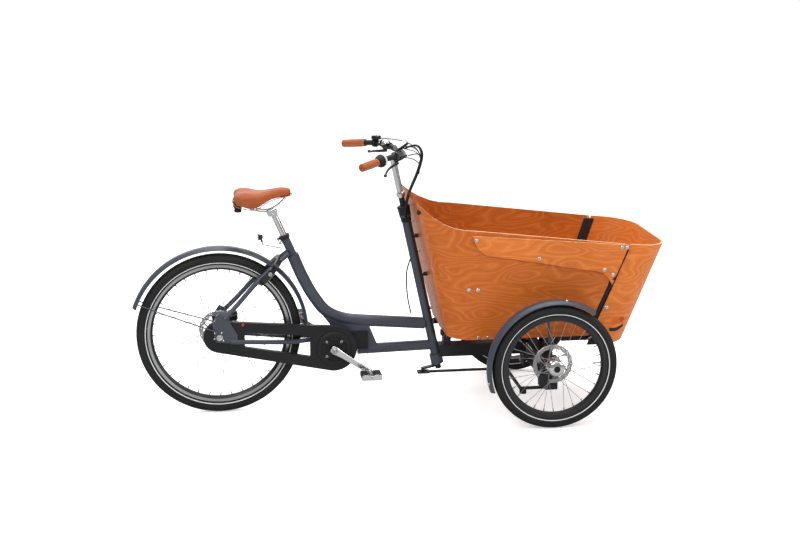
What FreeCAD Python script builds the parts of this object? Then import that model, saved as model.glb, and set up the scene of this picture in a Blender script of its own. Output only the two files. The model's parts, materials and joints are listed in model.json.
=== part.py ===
import FreeCAD, Part
import math
import os
import re

# Cargo tricycle: one rear wheel, two leaning and steered front wheels, a wooden box between them.
# Bench frame used while building: X forward from the rear axle, Y to the left, Z up from the ground.
# Every piece is then shifted by rear_axle_x, so the origin is under the middle of the whole machine.

DOC = FreeCAD.newDocument("cargo_tricycle")
SHEET = DOC.addObject("Spreadsheet::Sheet", "Sizes")

SIZES = {
    "rear_axle_x": -721.1,
    "wheelbase": 1294.6,
    "rear_axle_z": 330,
    "rear_tyre_radius": 330,
    "rear_tyre_section": 25,
    "front_axle_z": 250,
    "front_tyre_radius": 250,
    "front_tyre_section": 23.5,
    "front_track_half": 381.7,
    "kingpin_y": 315,
    "lean_pin_y": 285,
    "upper_arm_z": 245,
    "lower_arm_z": 170,
    "arm_half_height": 12,
    "arm_width": 40,
    "pin_radius": 6,
    "kingpin_radius": 8,
    "stub_radius": 8.5,
    "running_gap": 0.08,
    "rod_z": 131,
    "rod_radius": 7,
    "steering_arm_length": 110,
    "pitman_length": 71,
    "ball_radius": 8,
    "column_tilt": 12.35,
    "column_foot_x": 885.3,
    "column_foot_z": 206,
    "column_length": 641,
    "column_radius": 19,
    "column_bore": 15,
    "steerer_radius": 12,
    "collar_radius": 24,
    "seat_tube_tilt": 23.5,
    "seat_top_x": 265,
    "seat_top_z": 727,
    "seat_tube_radius": 17,
    "seat_post_radius": 13.5,
    "crank_x": 458,
    "crank_z": 265,
    "crank_length": 170,
    "crank_angle": -34,
    "spindle_radius": 12,
    "chain_line_y": -56,
    "ring_radius": 70,
    "sprocket_radius": 38,
    "motor_radius": 62,
    "motor_half_width": 42,
    "beam_radius": 24,
    "stay_radius": 9.5,
    "dropout_y": 70,
    "rear_axle_radius": 6,
    "guard_thickness": 3,
    "guard_width": 60,
    "rear_guard_radius": 361,
    "front_guard_radius": 273,
    "bar_radius": 11,
    "grip_radius": 16,
    "ply": 9,
    "box_floor_z": 333,
    "box_low_z": 290,
    "box_high_z": 960,
    "box_half_width_low": 252,
    "box_half_width_rim": 297,
    "box_rim_z": 767,
    "rear_corner": 100,
    "front_corner": 140,
    "strip_thickness": 8,
    "rail_z": 312,
}


def fill_sheet():
    """Writes every driving dimension into the sheet, with its name as the alias."""
    for row, (name, value) in enumerate(SIZES.items(), start=1):
        SHEET.set(f"A{row}", name)
        SHEET.set(f"B{row}", str(value))
        SHEET.setAlias(f"B{row}", name)
    DOC.recompute()


def size(name):
    """Reads one driving dimension back from the sheet."""
    return float(SHEET.get(name))


def bind(obj, prop, value):
    """Binds a property to sheet names, each written in the text without its sheet."""
    text = re.sub(r"\b[a-z]+_[a-z_]+\b|\bwheelbase\b|\bply\b", lambda m: "Sizes." + m.group(0), str(value))
    obj.setExpression(prop, text)


def vec(x, y, z):
    """Short for a FreeCAD vector."""
    return FreeCAD.Vector(x, y, z)


TURNS = {"x": (vec(0, 1, 0), 90), "y": (vec(1, 0, 0), -90), "z": (vec(0, 0, 1), 0)}


def put(obj, x, y, z):
    """Binds a placement to bench coordinates."""
    bind(obj, "Placement.Base.x", f"rear_axle_x + ({x})")
    bind(obj, "Placement.Base.y", y)
    bind(obj, "Placement.Base.z", z)


def rod(name, radius, length, centre, along="y"):
    """A cylinder about its centre, lying along one axis."""
    obj = DOC.addObject("Part::Cylinder", name)
    bind(obj, "Radius", radius)
    bind(obj, "Height", length)
    axis, angle = TURNS[along]
    obj.Placement = FreeCAD.Placement(vec(0, 0, 0), FreeCAD.Rotation(axis, angle))
    start = [f"({c}) - ({length}) / 2" if a == along else c for a, c in zip("xyz", centre)]
    put(obj, *start)
    return obj


def block(name, lengths, centre):
    """A box about its centre."""
    obj = DOC.addObject("Part::Box", name)
    for prop, length in zip(("Length", "Width", "Height"), lengths):
        bind(obj, prop, length)
    put(obj, *[f"({c}) - ({length}) / 2" for c, length in zip(centre, lengths)])
    return obj


def ball(name, radius, centre):
    """A sphere."""
    obj = DOC.addObject("Part::Sphere", name)
    bind(obj, "Radius", radius)
    put(obj, *centre)
    return obj


def cut(name, base, tool):
    """One object less another."""
    obj = DOC.addObject("Part::Cut", name)
    obj.Base = base
    obj.Tool = tool
    return obj


def fuse(name, parts):
    """Several objects as one solid."""
    obj = DOC.addObject("Part::MultiFuse", name)
    obj.Shapes = parts
    return obj


def group(name, parts):
    """Several separate solids in one node."""
    obj = DOC.addObject("Part::Compound", name)
    obj.Links = parts
    return obj


def ring(name, outer, inner, length, centre, along="y"):
    """A round ring or a tube."""
    return cut(name, rod(name + "_outer", outer, length, centre, along),
               rod(name + "_bore", inner, f"({length}) + 2", centre, along))


def feature(name, shape):
    """A shape in bench coordinates as a document object."""
    obj = DOC.addObject("Part::Feature", name)
    obj.Shape = shape
    bind(obj, "Placement.Base.x", "rear_axle_x")
    return obj


def side_plate(name, points, thickness, y):
    """A flat plate padded from a side-view outline of bench (x, z) points."""
    body = DOC.addObject("PartDesign::Body", name)
    sketch = body.newObject("Sketcher::SketchObject", name + "_outline")
    plane = [f for f in body.Origin.OriginFeatures if f.Role == "XZ_Plane"][0]
    sketch.AttachmentSupport = [(plane, "")]
    sketch.MapMode = "FlatFace"
    for start, end in zip(points, points[1:] + points[:1]):
        sketch.addGeometry(Part.LineSegment(vec(start[0], start[1], 0), vec(end[0], end[1], 0)))
    pad = body.newObject("PartDesign::Pad", name + "_pad")
    pad.Profile = sketch
    pad.Midplane = True
    bind(pad, "Length", thickness)
    sketch.Visibility = False
    put(body, 0, y, 0)
    return body


def path_of(points):
    """Straight runs joined by tangent arcs, each as large as its two runs allow. Also the least radius."""
    spots = [vec(*p) for p in points]
    edges = []
    radii = []
    last = spots[0]
    for before, corner, after in zip(spots, spots[1:], spots[2:]):
        inward = (before - corner).normalize()
        outward = (after - corner).normalize()
        turn = math.pi - inward.getAngle(outward)
        reach = 0.45 * min((before - corner).Length, (after - corner).Length)
        radius = reach / math.tan(turn / 2)
        start = corner + inward * reach
        end = corner + outward * reach
        middle_way = (inward + outward).normalize()
        middle = corner + middle_way * (math.hypot(radius, reach) - radius)
        edges.append(Part.LineSegment(last, start).toShape())
        edges.append(Part.Arc(start, middle, end).toShape())
        radii.append(radius)
        last = end
    edges.append(Part.LineSegment(last, spots[-1]).toShape())
    return Part.Wire(edges), min(radii, default=0)


def bent_tube(name, points, radius):
    """The solid of a round tube or cable along a path. Its volume is checked against section by length."""
    path, tightest = path_of(points)
    start = vec(*points[0])
    direction = (vec(*points[1]) - start).normalize()
    circle = Part.Wire(Part.makeCircle(radius, start, direction))
    shape = path.makePipeShell([circle], True, True)
    wanted = math.pi * radius ** 2 * path.Length
    print(f"{name}: volume ratio {shape.Volume / wanted:.3f}, least radius {tightest:.0f}")
    return shape


def mirror_y(points):
    """The same points on the other side."""
    return [(x, -y, z) for x, y, z in points]


def column_point(height, forward=0):
    """A point on the steering axis at a height, moved forward square to the axis."""
    lean = math.radians(size("column_tilt"))
    x = size("column_foot_x") - (height - size("column_foot_z")) * math.tan(lean)
    return vec(x + forward * math.cos(lean), 0, height + forward * math.sin(lean))


def on_axis(name, radius, base, direction, length):
    """A cylinder from a base point along a slanted direction."""
    obj = DOC.addObject("Part::Cylinder", name)
    bind(obj, "Radius", radius)
    bind(obj, "Height", length)
    turn = FreeCAD.Rotation(vec(0, 0, 1), direction)
    obj.Placement = FreeCAD.Placement(vec(0, 0, 0), turn)
    put(obj, base.x, base.y, base.z)
    return obj


COLUMN_TILT, SEAT_TILT = (math.radians(SIZES[name]) for name in ("column_tilt", "seat_tube_tilt"))
COLUMN_UP = vec(-math.sin(COLUMN_TILT), 0, math.cos(COLUMN_TILT))
SEAT_UP = vec(-math.sin(SEAT_TILT), 0, math.cos(SEAT_TILT))
NODES = {}


def node(label, obj):
    """Records one finished sub-part under the name of its file."""
    obj.Label = label
    NODES[label] = obj
    return obj


# Wheels


def wire_spokes(name, hub_radius, rim_radius, flange_y, x, y, z, count):
    """Thin spokes from both hub flanges to the rim, leaning alternately."""
    solids = []
    for index in range(count):
        angle = 2 * math.pi * index / count
        side = 1 if index % 2 else -1
        lead = math.radians(34) * (1 if index % 4 < 2 else -1)
        start = vec(x + hub_radius * math.cos(angle - lead), y + side * flange_y,
                    z + hub_radius * math.sin(angle - lead))
        end = vec(x + rim_radius * math.cos(angle), y + side * 3, z + rim_radius * math.sin(angle))
        run = end - start
        solids.append(Part.makeCylinder(1.1, run.Length, start, run))
    return feature(name, Part.makeCompound(solids))


def wheel(prefix, x, y, radius, section, rim_inner, rim_outer, count, flange_radius, flange_y):
    """Tyre, rim and spokes of one wheel."""
    tyre = DOC.addObject("Part::Torus", prefix + "_tyre")
    bind(tyre, "Radius1", f"{radius} - {section}")
    bind(tyre, "Radius2", section)
    tyre.Placement = FreeCAD.Placement(vec(0, 0, 0), FreeCAD.Rotation(vec(1, 0, 0), -90))
    put(tyre, x, y, radius)
    node(prefix + "_tyre", tyre)
    band = ring(prefix + "_rim_band", rim_outer, rim_inner, 28, (x, y, radius))
    spokes = wire_spokes(prefix + "_wires", flange_radius, rim_inner - 0.4, flange_y, eval_size(x),
                         eval_size(y),
                         eval_size(radius), count)
    node(prefix + "_rim", group(prefix + "_laced_rim", [band, spokes]))


def eval_size(value):
    """A number from a number or from a signed name of the sheet."""
    text = str(value)
    sign = -1 if text.startswith("-") else 1
    text = text.lstrip("-")
    return sign * (size(text) if text in SIZES else float(text))


def make_rear_wheel():
    """The 26 inch wheel with its geared hub, sprocket and brake disc."""
    x, z = 0, "rear_axle_z"
    wheel("rear", x, 0, "rear_tyre_radius", "rear_tyre_section", 264, 283, 36, 40, 30)
    barrel = rod("rear_barrel", 38, 74, (x, 0, z))
    flanges = [rod(f"rear_flange_{s}", 46, 4, (x, s * 31, z)) for s in (-1, 1)]
    carrier = rod("rear_disc_carrier", 22, 14, (x, 44, z))
    disc = ring("rear_disc", 80, 20, 2, (x, 52, z))
    solid = fuse("rear_hub_solid", [barrel, *flanges, carrier, disc])
    node("rear_hub", cut("rear_hub_bored", solid,
                         rod("rear_hub_hole", "rear_axle_radius + running_gap", 130, (x, 0, z))))
    sprocket = ring("sprocket", "sprocket_radius", "rear_axle_radius + running_gap", 3,
                    (x, "chain_line_y", z))
    boss = ring("sprocket_boss", 20, "rear_axle_radius + running_gap", 17, (x, "-46", z))
    node("rear_sprocket", fuse("sprocket_solid", [sprocket, boss]))


def make_front_wheel(side, word):
    """One 20 inch wheel on its stub axle, with its hub shell and brake disc."""
    x, z = "wheelbase", "front_axle_z"
    y = "front_track_half" if side > 0 else "-front_track_half"
    wheel(f"front_{word}", x, y, "front_tyre_radius", "front_tyre_section", 186, 204, 28, 27, 24)
    centre = side * size("front_track_half")
    barrel = rod(f"barrel_{word}", 20, 60, (x, centre, z))
    flanges = [rod(f"flange_{word}_{s + 1}", 32, 3, (x, centre + s * 24, z)) for s in (-1, 1)]
    cap = rod(f"cap_{word}", 26, 16, (x, centre + side * 37, z))
    carrier = rod(f"carrier_{word}", 18, 12, (x, centre - side * 31, z))
    disc = ring(f"disc_{word}", 80, 17, 2, (x, centre - side * 36, z))
    solid = fuse(f"front_hub_solid_{word}", [barrel, *flanges, cap, carrier, disc])
    hole = rod(f"hub_hole_{word}", "stub_radius + running_gap", 92, (x, centre - side * 6, z))
    node(f"front_{word}_hub", cut(f"front_hub_bored_{word}", solid, hole))


# Leaning and steering front end


def make_front_end():
    """Two crossarms, the uprights that they carry, the knuckles and the tie rod."""
    for level in ("upper", "lower"):
        height = f"{level}_arm_z"
        bar = block(f"{level}_bar", ("arm_width", "lean_pin_y * 2", "arm_half_height * 2"),
                    ("wheelbase", 0, height))
        bosses = [rod(f"{level}_boss_{i}", 14, "arm_width", ("wheelbase", f"{i} * lean_pin_y", height), "x")
                  for i in (-1, 0, 1)]
        holes = [rod(f"{level}_hole_{i}", "pin_radius + running_gap", "arm_width + 20",
                     ("wheelbase", f"{i} * lean_pin_y", height), "x") for i in (-1, 0, 1)]
        arm = cut(f"{level}_arm_bored", fuse(f"{level}_arm_solid", [bar, *bosses]),
                  fuse(f"{level}_holes", holes))
        node(f"{level}_crossarm", arm)
    for side, word in ((1, "left"), (-1, "right")):
        make_upright(side, word)
        make_knuckle(side, word)
        make_front_wheel(side, word)
        make_front_guard(side, word)
    make_tie_rod()


def make_upright(side, word):
    """The fork that joins both crossarms on one side and holds the kingpin."""
    y_pin = side * size("lean_pin_y")
    y_king = side * size("kingpin_y")
    cheeks = [block(f"cheek_{word}_{i + 1}", (8, 34, 112),
                    (f"wheelbase + {i * 28}", y_pin, 207.5)) for i in (-1, 1)]
    web = block(f"web_{word}", (64, 5, 112), ("wheelbase", side * 304.5, 207.5))
    house = ring(f"kingpin_house_{word}", 13, "kingpin_radius + running_gap", 112,
                 ("wheelbase", y_king, 207.5), "z")
    pins = [rod(f"link_pin_{word}_{i}", "pin_radius", 72, ("wheelbase", y_pin, height), "x")
            for i, height in enumerate(("upper_arm_z", "lower_arm_z"))]
    bored = cut(f"web_bored_{word}", web, rod(f"web_hole_{word}", 12, 130, ("wheelbase", y_king, 207.5),
                                              "z"))
    node(f"upright_{word}", fuse(f"upright_solid_{word}", [*cheeks, bored, house, *pins]))


def make_knuckle(side, word):
    """The steered knuckle: kingpin, yoke, stub axle, steering arm and brake caliper."""
    y_king = side * size("kingpin_y")
    king = rod(f"kingpin_{word}", "kingpin_radius", 140, ("wheelbase", y_king, 207.5), "z")
    ears = [block(f"ear_{word}_{i}", (32, 34, 9), ("wheelbase", side * 319, height))
            for i, height in enumerate((145.5, 269.5))]
    plate = block(f"knuckle_plate_{word}", (50, 6, 133), ("wheelbase", side * 334, 207.5))
    stub = rod(f"stub_{word}", "stub_radius", 82, ("wheelbase", side * 372, "front_axle_z"))
    arm = block(f"steering_arm_{word}", ("steering_arm_length", 18, 8),
                ("wheelbase - steering_arm_length / 2", y_king, 145.5))
    eye = rod(f"arm_tip_{word}", 9, 8, ("wheelbase - steering_arm_length", y_king, 145.5), "z")
    pieces = [king, *ears, plate, stub, arm, eye]
    if side < 0:
        tip = ("wheelbase - steering_arm_length", y_king, "rod_z")
        pieces.append(ball("right_ball", "ball_radius", tip))
        pieces.append(rod("right_stud", 4, 10, (tip[0], tip[1], 140), "z"))
    node(f"knuckle_{word}", fuse(f"knuckle_solid_{word}", pieces))
    body = block(f"caliper_block_{word}", (44, 21, 50), ("wheelbase - 34", side * 344.9, 186))
    slot = block(f"caliper_slot_{word}", (70, 4, 76), ("wheelbase - 34", side * 345.7, 205))
    bracket = block(f"caliper_bracket_{word}", (14, 12, 24), ("wheelbase - 24", side * 333, 180))
    node(f"front_caliper_{word}", fuse(f"caliper_{word}",
                                       [cut(f"caliper_cut_{word}", body, slot), bracket]))


def guard_shape(x, y, z, radius, start, end):
    """An arched mudguard of curved section between two angles, measured up from straight ahead."""
    half = size("guard_width") / 2
    thick = size("guard_thickness")
    drop = 13
    outer = Part.Arc(vec(x + radius - drop, -half, z), vec(x + radius, 0, z),
                     vec(x + radius - drop, half, z))
    inner_end = vec(x + radius - drop - thick, half - 1, z)
    inner_start = vec(x + radius - drop - thick, -half + 1, z)
    inner = Part.Arc(inner_end, vec(x + radius - thick, 0, z), inner_start)
    joins = [Part.LineSegment(vec(x + radius - drop, half, z), inner_end),
             Part.LineSegment(inner_start, vec(x + radius - drop, -half, z))]
    edges = [outer.toShape(), joins[0].toShape(), inner.toShape(), joins[1].toShape()]
    face = Part.Face(Part.Wire(edges))
    face.rotate(vec(x, 0, z), vec(0, -1, 0), start)
    shape = face.revolve(vec(x, 0, z), vec(0, -1, 0), end - start)
    shape.translate(vec(0, y, 0))
    return shape


def make_front_guard(side, word):
    """The mudguard over one front wheel, with the bracket that fixes it to the knuckle."""
    x, z = size("wheelbase"), size("front_axle_z")
    y = side * size("front_track_half")
    guard = guard_shape(x, y, z, size("front_guard_radius"), 55, 200)
    stay = bent_tube(f"guard_stay_{word}",
                     [(x, side * 333, 272), (x - 10, side * 326, 340), (x - 20, side * 330, 440),
                                            (x - 20, side * 352, 505)], 5)
    node(f"front_mudguard_{word}", feature(f"guard_{word}", guard.fuse(stay)))


def make_tie_rod():
    """The cross rod between both knuckles, with a tongue back to the pitman pin."""
    x, z = "wheelbase - steering_arm_length", "rod_z"
    cross = rod("cross_rod", "rod_radius", "kingpin_y * 2 - 26", (x, 0, z))
    cups = [ring(f"rod_cup_{i + 1}", 14, f"ball_radius + {gap}", 12, (x, f"{i} * kingpin_y", z), "z")
            for i, gap in ((-1, 2.6), (1, 0.6))]
    tongue = block("tongue", (340, 14, 8), ("wheelbase - 278", 0, z))
    eye = block("tongue_eye", (50, 34, 8), ("wheelbase - 460", 0, z))
    slot = block("tongue_slot", (36, 18, 20), ("wheelbase - 460", 0, z))
    pin_bore = rod("left_pin_bore", 3.4, 40, (x, "kingpin_y", z), "x")
    openings = fuse("tie_rod_openings", [slot, pin_bore])
    node("tie_rod", cut("tie_rod_slotted", fuse("tie_rod_solid", [cross, *cups, tongue, eye]), openings))
    pin = rod("left_pin", 3, 26, (x, "kingpin_y", z), "x")
    node("tie_rod_ball", fuse("left_ball_pinned",
                              [ball("left_ball", "ball_radius", (x, "kingpin_y", z)), pin]))


# Frame


def make_main_frame():
    """The swept main beam from the saddle to the steering column, with its lower tube and motor plate."""
    line = [(300, 0, 645), (330, 0, 570), (372, 0, 485), (428, 0, 405), (500, 0, 371), (600, 0, 360),
            (700, 0, 352),
            (838, 0, 340)]
    beam = feature("beam_tube", bent_tube("beam", line, size("beam_radius")))
    lower = feature("lower_tube", bent_tube("lower", [(560, 0, 240), (700, 0, 243), (868, 0, 247)], 21))
    plate = side_plate("motor_plate", [(420, 388), (500, 372), (604, 352), (640, 262), (600, 222),
                                       (470, 322)], 36, 0)
    seat_length = 140
    tube = on_axis("seat_tube", "seat_tube_radius", seat_point(-seat_length), SEAT_UP, seat_length)
    collar = on_axis("seat_collar", 20, seat_point(-14), SEAT_UP, 14)
    bore = on_axis("post_bore", "seat_post_radius + running_gap", seat_point(-150), SEAT_UP, 170)
    clear = on_axis("column_clearance", "column_bore + 1", column_point(150), COLUMN_UP, 400)
    bores = fuse("frame_bores", [bore, clear])
    node("main_frame", cut("frame_bored", fuse("frame_solid", [beam, lower, plate, tube, collar]), bores))


def seat_point(along):
    """A point on the seat tube's axis, measured up from its top."""
    return vec(size("seat_top_x"), 0, size("seat_top_z")) + SEAT_UP * along


def make_column():
    """The fixed steering column with its collars, and the two bearings inside."""
    foot = column_point(size("column_foot_z"))
    tube = on_axis("column_tube", "column_radius", foot, COLUMN_UP, "column_length")
    top = on_axis("column_collar", "collar_radius", column_point(789), COLUMN_UP, 44)
    base = on_axis("column_lug", 26, column_point(168), COLUMN_UP, 42)
    bore = on_axis("column_hole", "column_bore", column_point(150), COLUMN_UP, 760)
    column = cut("column_bored", fuse("column_solid", [tube, top, base]), bore)
    rings = []
    for index, height in enumerate((176, 806)):
        outer = on_axis(f"bearing_outer_{index}", "column_bore - 0.05", column_point(height), COLUMN_UP, 14)
        inner = on_axis(f"bearing_bore_{index}", "steerer_radius + running_gap", column_point(height - 5),
                        COLUMN_UP, 30)
        rings.append(cut(f"bearing_{index}", outer, inner))
    node("steering_column", group("column_set", [column, *rings]))


def make_rear_stays():
    """Chain stays, seat stays and dropout plates on both sides of the rear wheel."""
    pieces = []
    for side in (-1, 1):
        outer = side * size("dropout_y")
        chain_stay = [(44, outer, 310), (150, side * 62, 303), (290, side * 44, 292), (415, side * 24, 300)]
        seat_stay = [(20, outer, 404), (70, side * 58, 455), (165, side * 44, 560), (283, side * 22, 655)]
        pieces += [feature(f"chain_stay_{side + 1}",
                           bent_tube("chain stay", chain_stay, size("stay_radius"))),
                   feature(f"seat_stay_{side + 1}", bent_tube("seat stay", seat_stay, size("stay_radius")))]
        outline = [(-28, 382), (4, 429), (28, 417), (35, 402), (72, 338), (70, 302), (-15, 311)]
        pieces.append(side_plate(f"dropout_{side + 1}", outline, 6, outer))
    joined = fuse("stay_solid", pieces)
    node("rear_stays", cut("stays_bored", joined,
                           rod("axle_slots", "rear_axle_radius", 200, (0, 0, "rear_axle_z"))))
    shaft = rod("rear_axle_rod", "rear_axle_radius", 184, (0, 0, "rear_axle_z"))
    nuts = [rod(f"axle_nut_{i + 1}", 10, 8, (0, i * 78, "rear_axle_z")) for i in (-1, 1)]
    node("rear_axle", fuse("rear_axle_solid", [shaft, *nuts]))
    body = block("rear_caliper_block", (44, 32, 40), (56, 51.8, 388))
    slot = block("rear_caliper_slot", (70, 4, 60), (42, 52, 374))
    node("rear_caliper", cut("rear_caliper_slotted", body, slot))


def make_drive():
    """Mid motor, cranks, chainring, chain and the case round the chain."""
    x, z = "crank_x", "crank_z"
    case = rod("motor_can", "motor_radius", "motor_half_width * 2", (x, 0, z))
    neck = block("motor_neck", (150, 66, 70), (525, 0, 285))
    bore = rod("motor_bore", "spindle_radius + running_gap", 120, (x, 0, z))
    node("motor", cut("motor_bored", fuse("motor_solid", [case, neck]), bore))
    angle = math.radians(size("crank_angle"))
    length = size("crank_length")
    pieces = [rod("spindle", "spindle_radius", 196, (x, 0, z))]
    for side in (-1, 1):
        tip = vec(size("crank_x") - side * length * math.cos(angle), 0,
                  size("crank_z") - side * length * math.sin(angle))
        middle = [(size("crank_x") + tip.x) / 2, side * 92, (size("crank_z") + tip.z) / 2]
        arm = block(f"crank_arm_{side + 1}", (length, 12, 22), (0, 0, 0))
        turn = FreeCAD.Rotation(vec(0, 1, 0), -math.degrees(angle))
        arm.Placement = FreeCAD.Placement(vec(0, 0, 0), turn)
        corner = vec(*middle) - turn.multVec(vec(length / 2, 6, 11))
        put(arm, corner.x, corner.y, corner.z)
        pieces += [arm, rod(f"crank_end_{side + 1}", 14, 14, (x, side * 92, z)),
                   rod(f"pedal_end_{side + 1}", 13, 14, (tip.x, side * 92, tip.z)),
                   rod(f"pedal_pin_{side + 1}", 5, 82, (tip.x, side * 139, tip.z))]
        make_pedal(side, tip)
    node("cranks", fuse("crank_solid", pieces))
    node("chainring", ring("ring_solid", "ring_radius", "spindle_radius", 3, (x, "chain_line_y", z)))
    make_chain()


def make_pedal(side, tip):
    """One platform pedal turning on its pin."""
    word = "left" if side > 0 else "right"
    centre = side * 143
    tread = block(f"tread_{word}", (86, 74, 24), (tip.x, centre, tip.z))
    gaps = [block(f"tread_gap_{word}_{i + 1}", (20, 56, 40), (tip.x + i * 24, centre, tip.z)) for i in (-1,
                                                                                                        1)]
    hole = rod(f"tread_hole_{word}", "5 + running_gap", 80, (tip.x, centre - side * 2, tip.z))
    node(f"pedal_{word}", cut(f"pedal_bored_{word}", tread, fuse(f"tread_tools_{word}", [*gaps, hole])))


def loop_face(front_radius, rear_radius, y):
    """The face inside a belt-shaped loop round the crank centre and the rear axle."""
    front = vec(size("crank_x"), y, size("crank_z"))
    rear = vec(0, y, size("rear_axle_z"))
    along = front - rear
    base = math.atan2(along.z, along.x)
    swing = math.acos((rear_radius - front_radius) / along.Length)
    up, down = base + swing, base - swing

    def spot(centre, radius, angle):
        """A point of a circle in the side view."""
        return centre + vec(math.cos(angle), 0, math.sin(angle)) * radius

    edges = [Part.LineSegment(spot(rear, rear_radius, up), spot(front, front_radius, up)),
             Part.Arc(spot(front, front_radius, up), spot(front, front_radius, base),
                      spot(front, front_radius, down)),
             Part.LineSegment(spot(front, front_radius, down), spot(rear, rear_radius, down)),
             Part.Arc(spot(rear, rear_radius, down), spot(rear, rear_radius, base + math.pi),
                      spot(rear, rear_radius, up))]
    return Part.Face(Part.Wire([e.toShape() for e in edges]))


def loop_solid(front_radius, rear_radius, y_low, y_high):
    """A belt-shaped block between two depths."""
    return loop_face(front_radius, rear_radius, y_low).extrude(vec(0, y_high - y_low, 0))


def make_chain():
    """The chain as a plain loop, and the two-runged case that follows it."""
    ring_radius, sprocket_radius = size("ring_radius") + 0.6, size("sprocket_radius") + 0.6
    line = size("chain_line_y")
    outer = loop_solid(ring_radius + 6, sprocket_radius + 6, line - 4, line + 4)
    chain = outer.cut(loop_solid(ring_radius, sprocket_radius, line - 5, line + 5))
    node("chain", feature("chain_loop", chain))
    shell = loop_solid(93, 64, line - 12, line + 10)
    hollow = loop_solid(89, 60, line - 9, line + 7)
    window_start, window_end = 100, size("crank_x") - 96
    window = loop_solid(48, 26, line - 20, line + 20)
    lane = Part.makeBox(window_end - window_start, 60, 600, vec(window_start, line - 30, 0))
    window = window.common(lane)
    liner = window.makeOffsetShape(3, 0.01, join=2)
    case = shell.cut(hollow).fuse(liner.common(shell)).cut(window)
    holes = [Part.makeCylinder(16, 60, vec(size("crank_x"), line - 30, size("crank_z")), vec(0, 1, 0)),
             Part.makeCylinder(22, 60, vec(0, line - 30, size("rear_axle_z")), vec(0, 1, 0))]
    for hole in holes:
        case = case.cut(hole)
    node("chain_case", feature("case_shell", case))


def make_rear_guard():
    """Rear mudguard, its wire stays, the lamp and the ring lock."""
    z = size("rear_axle_z")
    guard = feature("rear_guard", guard_shape(0, 0, z, size("rear_guard_radius"), -3, 161))
    wires = []
    for side in (-1, 1):
        points = [(-9, side * 79, 354), (-110, side * 63, 390), (-220, side * 46, 428),
                  (-318, side * 31, 466)]
        wires.append(feature(f"wire_{side + 1}", bent_tube("stay wire", points, 2.5)))
    node("rear_mudguard", group("rear_guard_set", [guard, *wires]))
    lens = on_axis("lamp_lens", 14, vec(163, 0, 720), vec(1, 0, 0.1), 22)
    arm = feature("lamp_arm", bent_tube("lamp arm",
                                        [(180, 0, 708), (178, 0, 691), (216, 0, 679), (262, 0, 671)], 2.5))
    node("rear_lamp", fuse("lamp_solid", [lens, arm]))
    node("ring_lock", feature("lock_body", lock_shape()))


def lock_shape():
    """A horseshoe lock that straddles the rear wheel on the seat stays."""
    centre, tilt = vec(214, 0, 576), math.radians(-49)
    facing = vec(math.sin(tilt), 0, math.cos(tilt))
    plate = Part.makeCylinder(74, 22, centre,
                              facing).cut(Part.makeCylinder(54, 30, centre - facing * 4, facing))
    mouth = Part.makeBox(80, 70, 40, vec(-80, -35, -8))
    mouth.Placement = FreeCAD.Placement(centre, FreeCAD.Rotation(vec(0, 1, 0), math.degrees(tilt)))
    return plate.cut(mouth)


# Wooden box


def box_outline(z, inset):
    """The plan of the box at one height: straight walls joined by round corners."""
    rise = z - size("box_floor_z")
    share = rise / (size("box_rim_z") - size("box_floor_z"))
    half = size("box_half_width_low") + share * (size("box_half_width_rim") - size("box_half_width_low")) - inset
    rear = 785 + 0.235 * (815 - z) + inset
    front = 1783 + 0.36 * (z - 695) - inset
    back_r, front_r = size("rear_corner") - inset, size("front_corner") - inset

    def corner(x, y, radius, start):
        """A quarter circle about a point."""
        spots = [vec(x + radius * math.cos(a), y + radius * math.sin(a), z)
                 for a in (start, start + math.pi / 4, start + math.pi / 2)]
        return spots

    quarters = [corner(front - front_r, -half + front_r, front_r, -math.pi / 2),
                corner(front - front_r, half - front_r, front_r, 0),
                corner(rear + back_r, half - back_r, back_r, math.pi / 2),
                corner(rear + back_r, -half + back_r, back_r, math.pi)]
    edges = []
    for index, spots in enumerate(quarters):
        edges.append(Part.Arc(*spots).toShape())
        edges.append(Part.LineSegment(spots[2], quarters[(index + 1) % 4][0]).toShape())
    return Part.Wire(edges)


def box_block(inset):
    """The box as a full block, leaning and tapered, shrunk by an inset."""
    low, high = size("box_low_z"), size("box_high_z")
    return Part.makeLoft([box_outline(low, inset), box_outline(high, inset)], True, True)


def slab(points):
    """A side-view outline as a block right across the machine."""
    spots = [vec(x, -450, z) for x, z in points]
    return Part.Face(Part.makePolygon(spots + spots[:1])).extrude(vec(0, 900, 0))


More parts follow.
